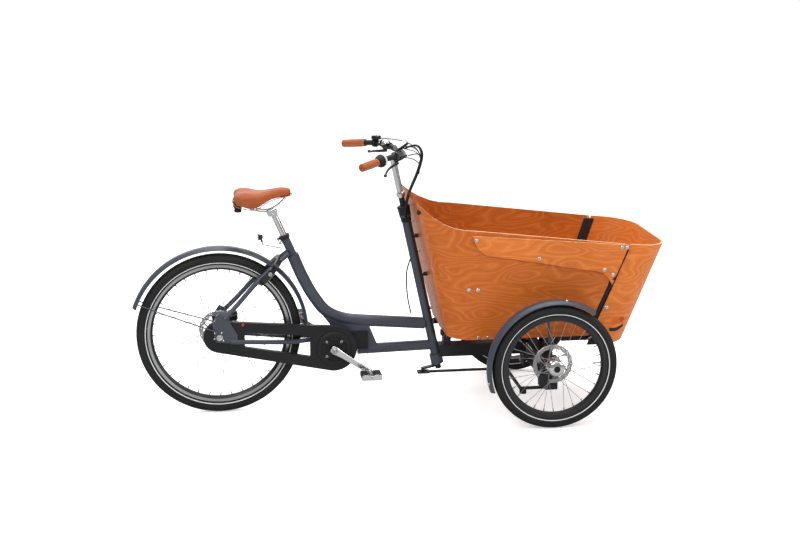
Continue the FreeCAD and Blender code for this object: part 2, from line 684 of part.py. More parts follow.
def make_box():
    """Rear tub, front panel, floor, side strips and joint plates."""
    outer, inner = box_block(0), box_block(size("ply"))
    shell = outer.cut(inner)
    top = [(989, 784), (947, 787), (904, 797), (861, 815), (819, 840), (781, 874), (759, 902), (720, 940)]
    tub = [(600, 333), (1461, 333), (1490, 415), (1536, 567), (1592, 713.8)] + top + [(600, 940)]
    node("tub_shell", feature("tub", shell.common(slab(tub))))
    panel = [(1900, 293), (1460, 293), (1500, 405), (1553, 544), (1611, 712), (1900, 686)]
    front = shell.common(slab(panel))
    slot = slab([(1548, 366), (1606, 371), (1616, 387), (1609, 404), (1557, 402)])
    node("front_panel", feature("front", front.cut(slot)))
    layer = box_block(-size("strip_thickness")).cut(outer)
    strip = [(976, 766), (984, 737), (1004, 706), (1034, 685), (1138, 668), (1251, 648), (1356, 627),
             (1466, 609),
             (1502, 601), (1529, 576), (1545, 547), (1604, 711)]
    inside = Part.makeBox(900, 900, 900, vec(900, -450, 100))
    node("side_strips", feature("strips", layer.common(slab(strip)).common(inside)))
    board = box_block(size("ply") + 0.3).common(slab([(700, 333), (1700, 333), (1700, 340), (700, 340)]))
    tread = box_block(size("ply") + 16).common(slab([(1050, 338), (1700, 338), (1700, 342), (1050, 342)]))
    node("box_floor", feature("floor", board.fuse(tread)))
    lining = box_block(size("ply")).cut(box_block(size("ply") + 3))
    seam = lining.common(slab([(1622, 700), (1578, 700), (1450, 345), (1494, 345)]))
    node("joint_plates", feature("plates", seam))
    make_box_fittings()


def wall_y(z, extra):
    """Half width of the box at a height, plus a little."""
    share = (z - size("box_floor_z")) / (size("box_rim_z") - size("box_floor_z"))
    low = size("box_half_width_low")
    return low + share * (size("box_half_width_rim") - low) + extra


def make_box_fittings():
    """Bolts, rear brackets, battery and the steel chassis under the box."""
    bolts = []
    spots = [(968, 544, 3), (1005, 543, 3), (1014, 342, 3), (1052, 342, 3), (990, 748, 11), (1243, 666, 11),
             (1575, 703, 11), (1596, 701, 11), (1510, 612, 11), (1545, 590, 11), (1530, 452, 3)]
    for index, (x, z, extra) in enumerate(spots):
        for side in (-1, 1):
            bolts.append(rod(f"bolt_{index}_{side + 1}", 7, 6, (x, side * wall_y(z, extra - 2.4), z)))
    lugs = []
    for index, height in enumerate((705, 545)):
        start = column_point(height, size("column_radius") - 3)
        lugs.append(on_axis(f"rear_lug_{index}", 9, start, vec(1, 0, 0), 42))
    node("box_fixings", group("fixing_set", [*bolts, *lugs]))
    node("battery", block("battery_pack", (110, 330, 150), (985, 0, 415.3)))
    make_chassis()


def make_chassis():
    """Spine, floor rails and the bracket that carries the leaning arms."""
    spine = side_plate("spine", [(903, 201), (1252, 201), (1252, 251), (892, 251)], 60, 0)
    rails = [block(f"floor_rail_{i + 1}", (700, 25, 20), (1240, i * 90, 323)) for i in (-1, 1)]
    ties = [block(f"floor_tie_{i}", (30, 205, 12), (x, 0, 307)) for i,
            x in enumerate((930, 1200, 1400, 1560))]
    posts = [block(f"post_{i}", (30, 50, 56), (x, 0, 277)) for i, x in enumerate((930, 1200))]
    node("chassis", fuse("chassis_solid", [spine, *rails, *ties, *posts]))
    cheeks = [block(f"pivot_cheek_{i + 1}", (8, 70, 152), (f"wheelbase + {i * 40}", 0, 225)) for i in (-1,
                                                                                                       1)]
    roof = block("pivot_roof", (88, 70, 12), ("wheelbase", 0, 307))
    pins = [rod(f"lean_pin_{i}", "pin_radius", 96, ("wheelbase", 0, height), "x")
            for i, height in enumerate(("upper_arm_z", "lower_arm_z"))]
    node("lean_bracket", fuse("lean_bracket_solid", [*cheeks, roof, *pins]))


# Handlebar and saddle


def make_handlebar():
    """Steerer with its pitman arm, quill stem, bar, grips, controls, display and cables."""
    shaft = on_axis("steerer_rod", "steerer_radius", column_point(146), COLUMN_UP, 740)
    arm = block("pitman_bar", ("pitman_length", 20, 8), (0, 0, 0))
    turn = FreeCAD.Rotation(vec(0, 0, 1), COLUMN_UP)
    arm.Placement = FreeCAD.Placement(vec(0, 0, 0), turn)
    corner = column_point(160) - turn.multVec(vec(size("pitman_length"), 10, 4))
    put(arm, corner.x, corner.y, corner.z)
    tip = column_point(160, 4 - size("pitman_length"))
    pin = on_axis("pitman_pin", 5, tip + COLUMN_UP * -20, COLUMN_UP, 22)
    node("steerer", fuse("steerer_solid", [shaft, arm, pin]))
    stem_low = column_point(868)
    quill = on_axis("quill", "steerer_radius + 1", stem_low, COLUMN_UP, 165)
    head = bent_tube("stem head", [tuple(column_point(1012)), tuple(column_point(1040, 8)), (736, 0, 1045)],
                     13)
    clamp = rod("bar_clamp", 19, 44, (736, 0, 1045))
    hole = rod("bar_clamp_hole", "bar_radius", 50, (736, 0, 1045))
    node("quill_stem", cut("stem_bored", fuse("stem_solid", [quill, feature("stem_head", head), clamp]),
                           hole))
    half = [(545, 306, 1043), (648, 213.4, 1059.2), (694, 160, 1062), (726, 84, 1052)]
    line = half + [(736, 26, 1045), (736, -26, 1045)] + mirror_y(half[::-1])
    node("handlebar", feature("bar_tube", bent_tube("bar", line, size("bar_radius"))))
    make_grips()
    screen = block("screen", (62, 84, 10), (0, 0, 0))
    tilt = FreeCAD.Rotation(vec(0, 1, 0), -34)
    screen.Placement = FreeCAD.Placement(vec(0, 0, 0), tilt)
    low = vec(738, 0, 1076) - tilt.multVec(vec(31, 42, 5))
    put(screen, low.x, low.y, low.z)
    node("display", screen)
    bundle = [(752, 0, 1064), (784, 0, 1080), (812, 0, 1074), (826, 0, 1043), (817, 0, 1000), (803, 0, 960),
              (788, 0, 928), (769, 0, 901)]
    node("cable_bundle", feature("cable_run", bent_tube("cable bundle", bundle, 7)))
    tail = [(778, 0, 612), (762, 0, 560), (763, 0, 500), (769, 0, 440), (782, 0, 384)]
    node("frame_cable", feature("tail_run", bent_tube("frame cable", tail, 3)))


def grip_frame(side):
    """Outer end and inward direction of one grip."""
    return vec(545, side * 306, 1043), vec(89, -side * 80, 14).normalize()


def make_grips():
    """Grips, lever mounts, levers, the twist shifter and the left thumb control."""
    mounts = []
    grips = []
    for side, word in ((1, "left"), (-1, "right")):
        end, inward = grip_frame(side)
        length = 114 if side > 0 else 84
        outer = on_axis(f"grip_outer_{word}", "grip_radius", end - inward * 4, inward, length)
        inner = on_axis(f"grip_inner_{word}", "bar_radius", end, inward, length + 20)
        grips.append(cut(f"grip_{word}_bored", outer, inner))
        lever_at = vec(690, side * 160, 1063)
        down = lever_at + vec(6, 0, -24)
        mounts.append(on_axis(f"lever_block_{word}", 9, down, vec(0, 0, 1), 20))
        pivot = down + vec(2, side * 1, -5)
        blade = [tuple(pivot), tuple(pivot + vec(-26, side * 26, -8)),
                 tuple(pivot + vec(-62, side * 66, -18)),
                 tuple(pivot + vec(-84, side * 92, -22))]
        lever = bent_tube("lever", blade, 4.5)
        knob = Part.makeSphere(8, vec(*blade[-1]))
        boss = Part.makeCylinder(6.5, 9, pivot - vec(0, 0, 4.5))
        node(f"brake_lever_{word}", feature(f"lever_{word}", lever.fuse([knob, boss])))
    node("grips", group("grip_pair", grips))
    thumb = block("thumb_control", (30, 34, 18), (664, 190, 1086))
    node("bar_controls", group("control_set", [*mounts, thumb]))
    end, inward = grip_frame(-1)
    sleeve = on_axis("shifter_sleeve", 19, end + inward * 82, inward, 24)
    bore = on_axis("shifter_bore", "bar_radius + running_gap", end + inward * 70, inward, 50)
    node("twist_shifter", cut("shifter_solid", sleeve, bore))


def make_saddle():
    """Seat post with its clamp, and the padded saddle on its base."""
    post = on_axis("post_tube", "seat_post_radius", seat_point(-86), SEAT_UP, 176)
    clamp = rod("saddle_clamp", 13, 46, (226, 0, 812))
    node("seat_post", fuse("seat_post_solid", [post, clamp]))
    rails = []
    for side in (-1, 1):
        points = [(96, side * 34, 856), (150, side * 24, 834), (200, side * 22, 824), (240, side * 20, 842),
                  (272, side * 12, 872)]
        rails.append(feature(f"rail_{side + 1}", bent_tube("saddle rail", points, 3.5)))
    blocks = [rod(f"elastomer_{i + 1}", 15, 40, (84, i * 50, 852), "z") for i in (-1, 1)]
    node("saddle_rails", group("saddle_frame", [*rails, *blocks]))
    sections = [(66, 62, 878, 12), (84, 96, 884, 26), (118, 100, 888, 28), (160, 78, 886, 24),
                (205, 44, 889, 20),
                (255, 24, 900, 18), (288, 18, 902, 16), (301, 8, 902, 7)]
    wires = []
    for x, half, z, high in sections:
        centre = vec(x, 0, z)
        ellipse = Part.Ellipse(centre + vec(0, half, 0), centre + vec(0, 0, high), centre)
        wires.append(Part.Wire(ellipse.toShape()))
    node("saddle", feature("saddle_pad", Part.makeLoft(wires, True)))


def check_and_write():
    """Stops on any failed object or shape, then writes one file for each node."""
    DOC.recompute()
    for obj in DOC.Objects:
        if {"Invalid", "Error"} & set(obj.State):
            raise RuntimeError(f"{obj.Name} failed: {obj.State}")
    for label, obj in NODES.items():
        if obj.Shape.isNull() or not obj.Shape.isValid() or not obj.Shape.Solids:
            raise RuntimeError(f"{label} has no valid solid")
    os.makedirs("parts", exist_ok=True)
    box = FreeCAD.BoundBox()
    for label, obj in NODES.items():
        obj.Shape.exportStep(f"parts/{label}.step")
        box.add(obj.Shape.BoundBox)
    print(f"{len(NODES)} nodes, box {box}")


fill_sheet()
make_rear_wheel()
make_front_end()
make_main_frame()
make_column()
make_rear_stays()
make_drive()
make_rear_guard()
make_box()
make_handlebar()
make_saddle()
check_and_write()
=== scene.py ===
"""Looks of a leaning cargo tricycle with a plywood box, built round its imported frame.

Every length is in metres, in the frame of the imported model: +X forward, +Y to the rider's left, +Z up.
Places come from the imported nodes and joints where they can, and are written in that frame otherwise.
"""

import json
import logging
import math
import random
from dataclasses import dataclass, field
from enum import Enum
from typing import Callable, Sequence

import bmesh
import bpy
from mathutils import Matrix, Vector


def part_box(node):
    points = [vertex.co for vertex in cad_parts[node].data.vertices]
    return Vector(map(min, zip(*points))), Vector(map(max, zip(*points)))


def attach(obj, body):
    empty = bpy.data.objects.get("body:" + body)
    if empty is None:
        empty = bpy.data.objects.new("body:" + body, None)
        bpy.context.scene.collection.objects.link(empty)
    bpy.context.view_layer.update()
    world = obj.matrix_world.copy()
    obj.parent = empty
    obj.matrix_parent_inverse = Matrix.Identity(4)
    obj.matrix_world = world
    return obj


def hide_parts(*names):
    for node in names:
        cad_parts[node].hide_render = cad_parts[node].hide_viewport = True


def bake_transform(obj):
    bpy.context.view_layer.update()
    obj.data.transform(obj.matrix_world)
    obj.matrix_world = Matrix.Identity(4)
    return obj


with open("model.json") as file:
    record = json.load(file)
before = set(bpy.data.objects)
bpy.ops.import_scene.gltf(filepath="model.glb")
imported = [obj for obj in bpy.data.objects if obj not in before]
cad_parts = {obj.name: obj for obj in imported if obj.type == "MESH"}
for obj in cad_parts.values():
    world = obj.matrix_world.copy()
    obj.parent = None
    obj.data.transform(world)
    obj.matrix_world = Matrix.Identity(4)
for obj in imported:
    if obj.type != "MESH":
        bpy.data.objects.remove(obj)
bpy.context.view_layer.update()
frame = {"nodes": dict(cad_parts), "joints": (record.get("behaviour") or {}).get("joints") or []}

LOG = logging.getLogger("cargo_tricycle")
Colour = tuple[float, float, float]
Point = tuple[float, float, float]
Outline = list[tuple[float, float]]
Build = bmesh.types.BMesh
Socket = bpy.types.NodeSocket
SEED = 7
BAR_BORE = 0.0112  # the radius inside everything clamped round the bar
SEAT_COLLAR = Vector((-0.4561, 0, 0.727))  # the top of the seat tube
LIGHTS_AIM = Vector((0, 0, 0.45))
UP, AHEAD = Vector((0, 0, 1)), Vector((1, 0, 0))
LEFTWARD, RIGHTWARD = Vector((0, 1, 0)), Vector((0, -1, 0))
FLOOR_DROP = 0.0008  # keeps the floor just under the tyres


class Side(Enum):
    """The two sides of the machine, by the sign of Y."""

    LEFT = 1
    RIGHT = -1

    @property
    def word(self) -> str:
        """The side's name, as node names spell it."""
        return self.name.lower()


# Shared effects, as shader node groups


@dataclass
class Wiring:
    """Adds and links nodes in one node tree."""

    tree: bpy.types.NodeTree

    def add(self, kind: str, **values: object) -> bpy.types.Node:
        """Adds a node.

        Args:
            kind: The node's type name.
            **values: Attributes of the node, or plain values of its inputs, whose names have
                underscores for spaces.

        Returns:
            The new node.
        """
        node = self.tree.nodes.new(kind)
        for name, value in values.items():
            if hasattr(node, name):
                setattr(node, name, value)
            else:
                node.inputs[name.replace("_", " ")].default_value = value
        return node

    def link(self, out: Socket, into: Socket) -> None:
        """Links an output to an input."""
        self.tree.links.new(out, into)

    def maths(self, operation: str, *inputs: object) -> Socket:
        """Adds a Math node.

        Args:
            operation: The node's operation.
            *inputs: Sockets or numbers, in order.

        Returns:
            The result's socket.
        """
        node = self.add("ShaderNodeMath", operation=operation)
        for index, value in enumerate(inputs):
            if isinstance(value, Socket):
                self.link(value, node.inputs[index])
            else:
                node.inputs[index].default_value = value
        return node.outputs[0]

    def blend(self, share: object, first: object, second: object) -> Socket:
        """Mixes two colours by a share, each a socket or a plain value."""
        node = self.add("ShaderNodeMix", data_type="RGBA")
        for index, value in ((0, share), (6, first), (7, second)):
            if isinstance(value, Socket):
                self.link(value, node.inputs[index])
            elif index:
                node.inputs[index].default_value = (*value[:3], 1)
            else:
                node.inputs[index].default_value = value
        return node.outputs[2]

    def bump(self, shader: bpy.types.Node, height: Socket, strength: float, depth: float) -> None:
        """Raises a shader's surface by a height, to a depth in metres."""
        node = self.add("ShaderNodeBump", Strength=strength, Distance=depth)
        self.link(height, node.inputs["Height"])
        self.link(node.outputs["Normal"], shader.inputs["Normal"])

    def ramp(self, share: Socket, low: float, high: float) -> Socket:
        """Stretches a value from low to high over 0 to 1, and holds it there."""
        node = self.add("ShaderNodeMapRange", clamp=True)
        node.inputs["From Min"].default_value = low
        node.inputs["From Max"].default_value = high
        self.link(share, node.inputs["Value"])
        return node.outputs["Result"]


def shared_group(name: str, inputs: dict[str, float], outputs: dict[str, str],
                 fill: Callable[[Wiring, dict[str, Socket]], dict]) -> bpy.types.NodeTree:
    """Builds a node group once.

    Args:
        name: The group's name.
        inputs: Names and default values of its number inputs.
        outputs: Names and socket types of its outputs.
        fill: Makes the nodes, and returns each output's source by name.

    Returns:
        The group.
    """
    found = bpy.data.node_groups.get(name)
    if found:
        return found
    tree = bpy.data.node_groups.new(name, "ShaderNodeTree")
    for label, value in inputs.items():
        socket = tree.interface.new_socket(label, in_out="INPUT", socket_type="NodeSocketFloat")
        socket.default_value = value
    for label, kind in outputs.items():
        tree.interface.new_socket(label, in_out="OUTPUT", socket_type=kind)
    wiring = Wiring(tree)
    entry = tree.nodes.new("NodeGroupInput")
    leave = tree.nodes.new("NodeGroupOutput")
    results = fill(wiring, {label: entry.outputs[label] for label in inputs})
    for label, source in results.items():
        wiring.link(source, leave.inputs[label])
    return tree


def object_place(wiring: Wiring) -> Socket:
    """The surface point in the machine's own metres."""
    return wiring.add("ShaderNodeTexCoord").outputs["Object"]


def cloud(wiring: Wiring, scale: object, detail: float = 4, rough: float = 0.55,
          place: Socket | None = None) -> Socket:
    """Plain noise over the surface, from 0 to 1."""
    node = wiring.add("ShaderNodeTexNoise", Detail=detail, Roughness=rough)
    wiring.link(place or object_place(wiring), node.inputs["Vector"])
    if isinstance(scale, Socket):
        wiring.link(scale, node.inputs["Scale"])
    else:
        node.inputs["Scale"].default_value = scale
    return node.outputs["Fac"]


def dust_group() -> bpy.types.NodeTree:
    """Thin dust that settles on what faces up, in soft patches."""

    def fill(wiring: Wiring, given: dict) -> dict:
        """Upward faces times cloudy patches."""
        normal = wiring.add("ShaderNodeNewGeometry").outputs["Normal"]
        split = wiring.add("ShaderNodeSeparateXYZ")
        wiring.link(normal, split.inputs[0])
        up = wiring.ramp(split.outputs["Z"], 0.1, 1.0)
        patches = wiring.ramp(cloud(wiring, 9.0), 0.35, 0.75)
        both = wiring.maths("MULTIPLY", up, patches)
        return {"Mask": wiring.maths("MULTIPLY", both, given["Amount"])}

    return shared_group("dust", {"Amount": 0.2}, {"Mask": "NodeSocketFloat"}, fill)


def grain_group() -> bpy.types.NodeTree:
    """Fine orange-peel or moulded grain: a height, and a slow tone change."""

    def fill(wiring: Wiring, given: dict) -> dict:
        """Fine noise for the height and broad noise for the tone."""
        fine = cloud(wiring, given["Scale"], 3, 0.6)
        broad = wiring.ramp(cloud(wiring, 5.0, 3, 0.5), 0.3, 0.7)
        return {"Height": fine, "Tone": broad}

    return shared_group("fine_grain", {"Scale": 900.0},
                        {"Height": "NodeSocketFloat", "Tone": "NodeSocketFloat"}, fill)


def wear_group() -> bpy.types.NodeTree:
    """Worn edges, where a bent normal leaves the flat one, broken up by fine noise."""

    def fill(wiring: Wiring, given: dict) -> dict:
        """The difference between a rounded and a plain normal."""
        bevel = wiring.add("ShaderNodeBevel", samples=4)
        bevel.inputs["Radius"].default_value = 0.0012
        plain = wiring.add("ShaderNodeNewGeometry").outputs["Normal"]
        dot = wiring.add("ShaderNodeVectorMath", operation="DOT_PRODUCT")
        wiring.link(bevel.outputs[0], dot.inputs[0])
        wiring.link(plain, dot.inputs[1])
        edge = wiring.ramp(wiring.maths("SUBTRACT", 1.0, dot.outputs["Value"]), 0.02, 0.12)
        broken = wiring.ramp(cloud(wiring, 160.0, 5, 0.6), 0.45, 0.62)
        both = wiring.maths("MULTIPLY", edge, broken)
        return {"Mask": wiring.maths("MULTIPLY", both, given["Amount"])}

    return shared_group("edge_wear", {"Amount": 0.4}, {"Mask": "NodeSocketFloat"}, fill)


def place_group(wiring: Wiring, tree: bpy.types.NodeTree, **values: float) -> bpy.types.Node:
    """Places a shared group in a material, with its values."""
    node = wiring.add("ShaderNodeGroup")
    node.node_tree = tree
    for name, value in values.items():
        node.inputs[name].default_value = value
    return node


# Finishes


@dataclass(frozen=True)
class Finish:
    """One plain finish: paint, plastic, rubber or metal.

    Its colour drifts slowly between two tones, fine grain lifts it, edges wear and dust settles.
    """

    name: str
    slot: str
    colour: Colour
    tone: Colour
    roughness: float = 0.4
    spread: float = 0.08
    metallic: float = 0.0
    coat: float = 0.0
    grain_scale: float = 900.0
    grain_depth: float = 0.00003
    wear: float = 0.25
    # The colour of worn edges. For leather it is the painted shade in the grain's creases.
    worn: Colour = (0.5, 0.5, 0.5)
    dust: float = 0.12
    specular: float = 0.5

    def build(self) -> bpy.types.Material:
        """Makes the material, or returns it if it is there already."""
        found = bpy.data.materials.get(self.name)
        if found:
            return found
        material = bpy.data.materials.new(self.name)
        material.use_nodes = True
        shader = material.node_tree.nodes["Principled BSDF"]
        flat = {"Metallic": self.metallic, "Coat Weight": self.coat, "Coat Roughness": 0.12,
                "Specular IOR Level": self.specular}
        for name, value in flat.items():
            shader.inputs[name].default_value = value
        self.wire(Wiring(material.node_tree), shader)
        return material

    def wire(self, wiring: Wiring, shader: bpy.types.Node) -> None:
        """Links the textures to the shader."""
        grain = place_group(wiring, grain_group(), Scale=self.grain_scale)
        colour = wiring.blend(grain.outputs["Tone"], self.colour, self.tone)
        wear = place_group(wiring, wear_group(), Amount=self.wear)
        colour = wiring.blend(wear.outputs["Mask"], colour, self.worn)
        dust = place_group(wiring, dust_group(), Amount=self.dust)
        colour = wiring.blend(dust.outputs["Mask"], colour, (0.42, 0.38, 0.33))
        wiring.link(colour, shader.inputs["Base Color"])
        smear = wiring.ramp(cloud(wiring, 28.0, 5, 0.6), 0.3, 0.7)
        rough = wiring.maths("MULTIPLY_ADD", smear, self.spread, self.roughness)
        rough = wiring.maths("ADD", rough, wiring.maths("MULTIPLY", dust.outputs["Mask"], 0.3))
        wiring.link(rough, shader.inputs["Roughness"])
        wiring.bump(shader, grain.outputs["Height"], 0.6, self.grain_depth)


@dataclass(frozen=True)
class Varnish(Finish):
    """Varnished plywood: rotary-cut figure along the sheet, pale layered edges, a clear coat."""

    figure: Colour = (0.74, 0.3, 0.105)
    dark: Colour = (0.37, 0.085, 0.022)
    edge: Colour = (0.83, 0.56, 0.34)

    def wire(self, wiring: Wiring, shader: bpy.types.Node) -> None:
        """Links the textures to the shader."""
        place = object_place(wiring)
        mapping = wiring.add("ShaderNodeMapping")
        mapping.inputs["Scale"].default_value = (1.0, 1.0, 3.2)
        mapping.inputs["Rotation"].default_value = (0, math.radians(9), 0)
        wiring.link(place, mapping.inputs["Vector"])
        height = cloud(wiring, 1.7, 2.5, 0.45, mapping.outputs[0])
        rings = wiring.maths("FRACT", wiring.maths("MULTIPLY", height, 34.0))
        line = wiring.maths("PINGPONG", rings, 0.5)
        latewood = wiring.ramp(line, 0.3, 0.5)
        early = wiring.ramp(line, 0.16, 0.0)
        fibre_map = wiring.add("ShaderNodeMapping")
        fibre_map.inputs["Scale"].default_value = (9.0, 9.0, 220.0)
        wiring.link(place, fibre_map.inputs["Vector"])
        fibre = cloud(wiring, 3.0, 6, 0.65, fibre_map.outputs[0])
        broad = wiring.ramp(cloud(wiring, 2.6, 3, 0.5), 0.3, 0.7)
        colour = wiring.blend(broad, self.colour, self.tone)
        colour = wiring.blend(wiring.maths("MULTIPLY", latewood, 0.42), colour, self.figure)
        colour = wiring.blend(wiring.maths("MULTIPLY", early, 0.3), colour, self.dark)
        fibres = wiring.maths("MULTIPLY", wiring.ramp(fibre, 0.42, 0.72), 0.28)
        colour = wiring.blend(fibres, colour, self.dark)
        colour = self.layered_edge(wiring, place, colour)
        dust = place_group(wiring, dust_group(), Amount=self.dust)
        colour = wiring.blend(dust.outputs["Mask"], colour, (0.6, 0.5, 0.4))
        wiring.link(colour, shader.inputs["Base Color"])
        rough = wiring.maths("MULTIPLY_ADD", wiring.ramp(fibre, 0.3, 0.7), self.spread, self.roughness)
        wiring.link(rough, shader.inputs["Roughness"])
        wiring.bump(shader, wiring.maths("MULTIPLY_ADD", latewood, 0.5, fibre), 0.35, 0.00012)

    def layered_edge(self, wiring: Wiring, place: Socket, colour: Socket) -> Socket:
        """Paints what faces nearly straight up as the sheet's pale, layered edge."""
        split = wiring.add("ShaderNodeSeparateXYZ")
        wiring.link(wiring.add("ShaderNodeNewGeometry").outputs["Normal"], split.inputs[0])
        where = wiring.add("ShaderNodeSeparateXYZ")
        wiring.link(place, where.inputs[0])
        edge = wiring.ramp(split.outputs["Z"], 0.45, 0.6)
        above = wiring.ramp(where.outputs["Z"], 0.5, 0.51)
        speck = wiring.ramp(cloud(wiring, 400.0, 2), 0.35, 0.65)
        pale = wiring.blend(wiring.maths("MULTIPLY", speck, 0.35), self.edge, self.figure)
        return wiring.blend(wiring.maths("MULTIPLY", edge, above), colour, pale)


@dataclass(frozen=True)
class Hide(Finish):
    """Leather with pebbled grain, whose creases carry painted shade, darker than its high spots."""

    pebble: float = 520.0

    def wire(self, wiring: Wiring, shader: bpy.types.Node) -> None:
        """Links the textures to the shader."""
        place = object_place(wiring)
        cells = wiring.add("ShaderNodeTexVoronoi", feature="DISTANCE_TO_EDGE")
        cells.inputs["Scale"].default_value = self.pebble
        wiring.link(place, cells.inputs["Vector"])
        creases = wiring.ramp(cells.outputs["Distance"], 0.0, 0.12)
        broad = wiring.ramp(cloud(wiring, 14.0, 4, 0.6), 0.3, 0.7)
        colour = wiring.blend(broad, self.colour, self.tone)
        # Painted shade: the creases between the pebbles are blended towards the darker colour.
        crease_shade = wiring.maths("MULTIPLY", wiring.maths("SUBTRACT", 1.0, creases), 0.35)
        colour = wiring.blend(crease_shade, colour, self.worn)
        wiring.link(colour, shader.inputs["Base Color"])
        rough = wiring.maths("MULTIPLY_ADD", broad, self.spread, self.roughness)
        wiring.link(rough, shader.inputs["Roughness"])
        shader.inputs["Sheen Weight"].default_value = 0.05
        relief = wiring.maths("MULTIPLY_ADD", cloud(wiring, 70.0, 4, 0.6), 1.2, creases)
        wiring.bump(shader, relief, 0.5, 0.00018)


@dataclass(frozen=True)
class Lens(Finish):
    """A clear or tinted moulded lens, with a pattern of small prisms."""

    def wire(self, wiring: Wiring, shader: bpy.types.Node) -> None:
        """Links the textures to the shader."""
        cells = wiring.add("ShaderNodeTexVoronoi")
        cells.inputs["Scale"].default_value = 420.0
        wiring.link(object_place(wiring), cells.inputs["Vector"])
        colour = wiring.blend(wiring.ramp(cells.outputs["Distance"], 0.1, 0.8), self.colour, self.tone)
        wiring.link(colour, shader.inputs["Base Color"])
        shader.inputs["Roughness"].default_value = self.roughness
        wiring.bump(shader, cells.outputs["Distance"], 0.5, 0.0003)


PAINT = Finish("satin_slate_paint", "frame_paint", (0.038, 0.043, 0.06), (0.048, 0.055, 0.075),
               roughness=0.34, coat=0.12, wear=0.08, worn=(0.16, 0.17, 0.2), dust=0.03, specular=0.4)
BLACK_STEEL = Finish("black_powder_coat", "dark_steel", (0.009, 0.0095, 0.011), (0.014, 0.0145, 0.017),
                     roughness=0.4, wear=0.08, worn=(0.12, 0.12, 0.12), dust=0.03, specular=0.35)
MATT_PLASTIC = Finish("matt_black_plastic", "black_plastic", (0.0075, 0.008, 0.009), (0.012, 0.0125, 0.014),
                      roughness=0.46,
                      grain_scale=1500.0, wear=0.05, worn=(0.08, 0.08, 0.08), dust=0.025, specular=0.3)
SHINY_PLASTIC = Finish("glossy_black_plastic", "black_plastic", (0.006, 0.006, 0.007),
                       (0.01, 0.01, 0.011), roughness=0.16, coat=0.3, wear=0.0, dust=0.03, specular=0.4)
TYRE_RUBBER = Finish("tyre_rubber", "tyre", (0.009, 0.0095, 0.0105), (0.015, 0.015, 0.0165), roughness=0.6,
                     spread=0.15,
                     grain_scale=1100.0, grain_depth=0.00006, wear=0.05, worn=(0.05, 0.05, 0.05), dust=0.07,
                     specular=0.25)
SOFT_RUBBER = Finish("cable_rubber", "rubber", (0.008, 0.008, 0.009), (0.013, 0.013, 0.014), roughness=0.44,
                     wear=0.0, dust=0.03, specular=0.3)
STRIPE = Finish("reflective_band", "polished", (0.72, 0.73, 0.74), (0.62, 0.63, 0.64), roughness=0.35,
                grain_scale=2200.0, wear=0.05, dust=0.1)
POLISHED = Finish("polished_alloy", "polished", (0.78, 0.785, 0.79), (0.68, 0.685, 0.69), roughness=0.13,
                  spread=0.12, metallic=1.0, grain_scale=600.0, grain_depth=0.00001, wear=0.0, dust=0.04)
BRUSHED = Finish("brushed_steel", "steel", (0.56, 0.565, 0.57), (0.44, 0.445, 0.45), roughness=0.28,
                 spread=0.15, metallic=1.0, grain_scale=1400.0, wear=0.0, dust=0.06)
SPOKE_STEEL = Finish("spoke_steel", "polished", (0.27, 0.27, 0.28), (0.22, 0.22, 0.23), roughness=0.32,
                     spread=0.1, metallic=0.35, grain_scale=1600.0, wear=0.0, dust=0.04)
BLACK_RIM = Finish("black_anodised_rim", "black_rim", (0.02, 0.02, 0.022), (0.03, 0.03, 0.033),
                   roughness=0.3, metallic=0.4, wear=0.15, worn=(0.3, 0.3, 0.3))
# The tub's ply is a darker copy of the pale ply of the side strips and front panel. It is partly the tub's
# own tone and partly painted shade for the tub wall under the proud strips.
PLY = Varnish("varnished_ply", "ply", (0.53, 0.132, 0.02), (0.43, 0.098, 0.013), roughness=0.3,
              spread=0.12, coat=0.08,
              dust=0.01, specular=0.14, figure=(0.68, 0.215, 0.046), dark=(0.29, 0.058, 0.009))
PLY_STRIP = Varnish("varnished_ply_pale", "ply", (0.66, 0.185, 0.034), (0.55, 0.142, 0.024), roughness=0.3,
                    spread=0.12,
                    coat=0.08, dust=0.01, specular=0.14, figure=(0.8, 0.28, 0.072), dark=(0.37, 0.082,
                                                                                           0.013))
# Each leather's darker colour is the painted shade in the creases of its grain.
SADDLE_HIDE = Hide("saddle_leather", "leather", (0.4, 0.098, 0.025), (0.31, 0.072, 0.018), roughness=0.44,
                   spread=0.16, specular=0.25, worn=(0.14, 0.036, 0.01))
GRIP_HIDE = Hide("grip_leather", "leather", (0.41, 0.105, 0.028), (0.33, 0.078, 0.02), roughness=0.48,
                 spread=0.14, specular=0.25, worn=(0.15, 0.04, 0.012), pebble=700.0)
THREAD = Finish("waxed_thread", "leather", (0.62, 0.34, 0.17), (0.5, 0.26, 0.12), roughness=0.7,
                grain_scale=3000.0, wear=0.0)
GLASS_BLACK = Finish("display_glass", "screen", (0.008, 0.009, 0.012), (0.012, 0.013, 0.017),
                     roughness=0.06, coat=1.0, wear=0.0, dust=0.08)
RED_LENS = Lens("red_lens", "black_plastic", (0.55, 0.012, 0.01), (0.32, 0.006, 0.006), roughness=0.12,
                coat=0.8)
CLEAR_LENS = Lens("clear_lens", "polished", (0.75, 0.77, 0.8), (0.5, 0.52, 0.56), roughness=0.08, coat=0.8)


# Mesh making


def smooth(mesh: bpy.types.Mesh, angle: float = 32.0) -> None:
    """Shades a mesh smooth, with sharp edges past an angle in degrees."""
    mesh.polygons.foreach_set("use_smooth", [True] * len(mesh.polygons))
    mesh.set_sharp_from_angle(angle=math.radians(angle))


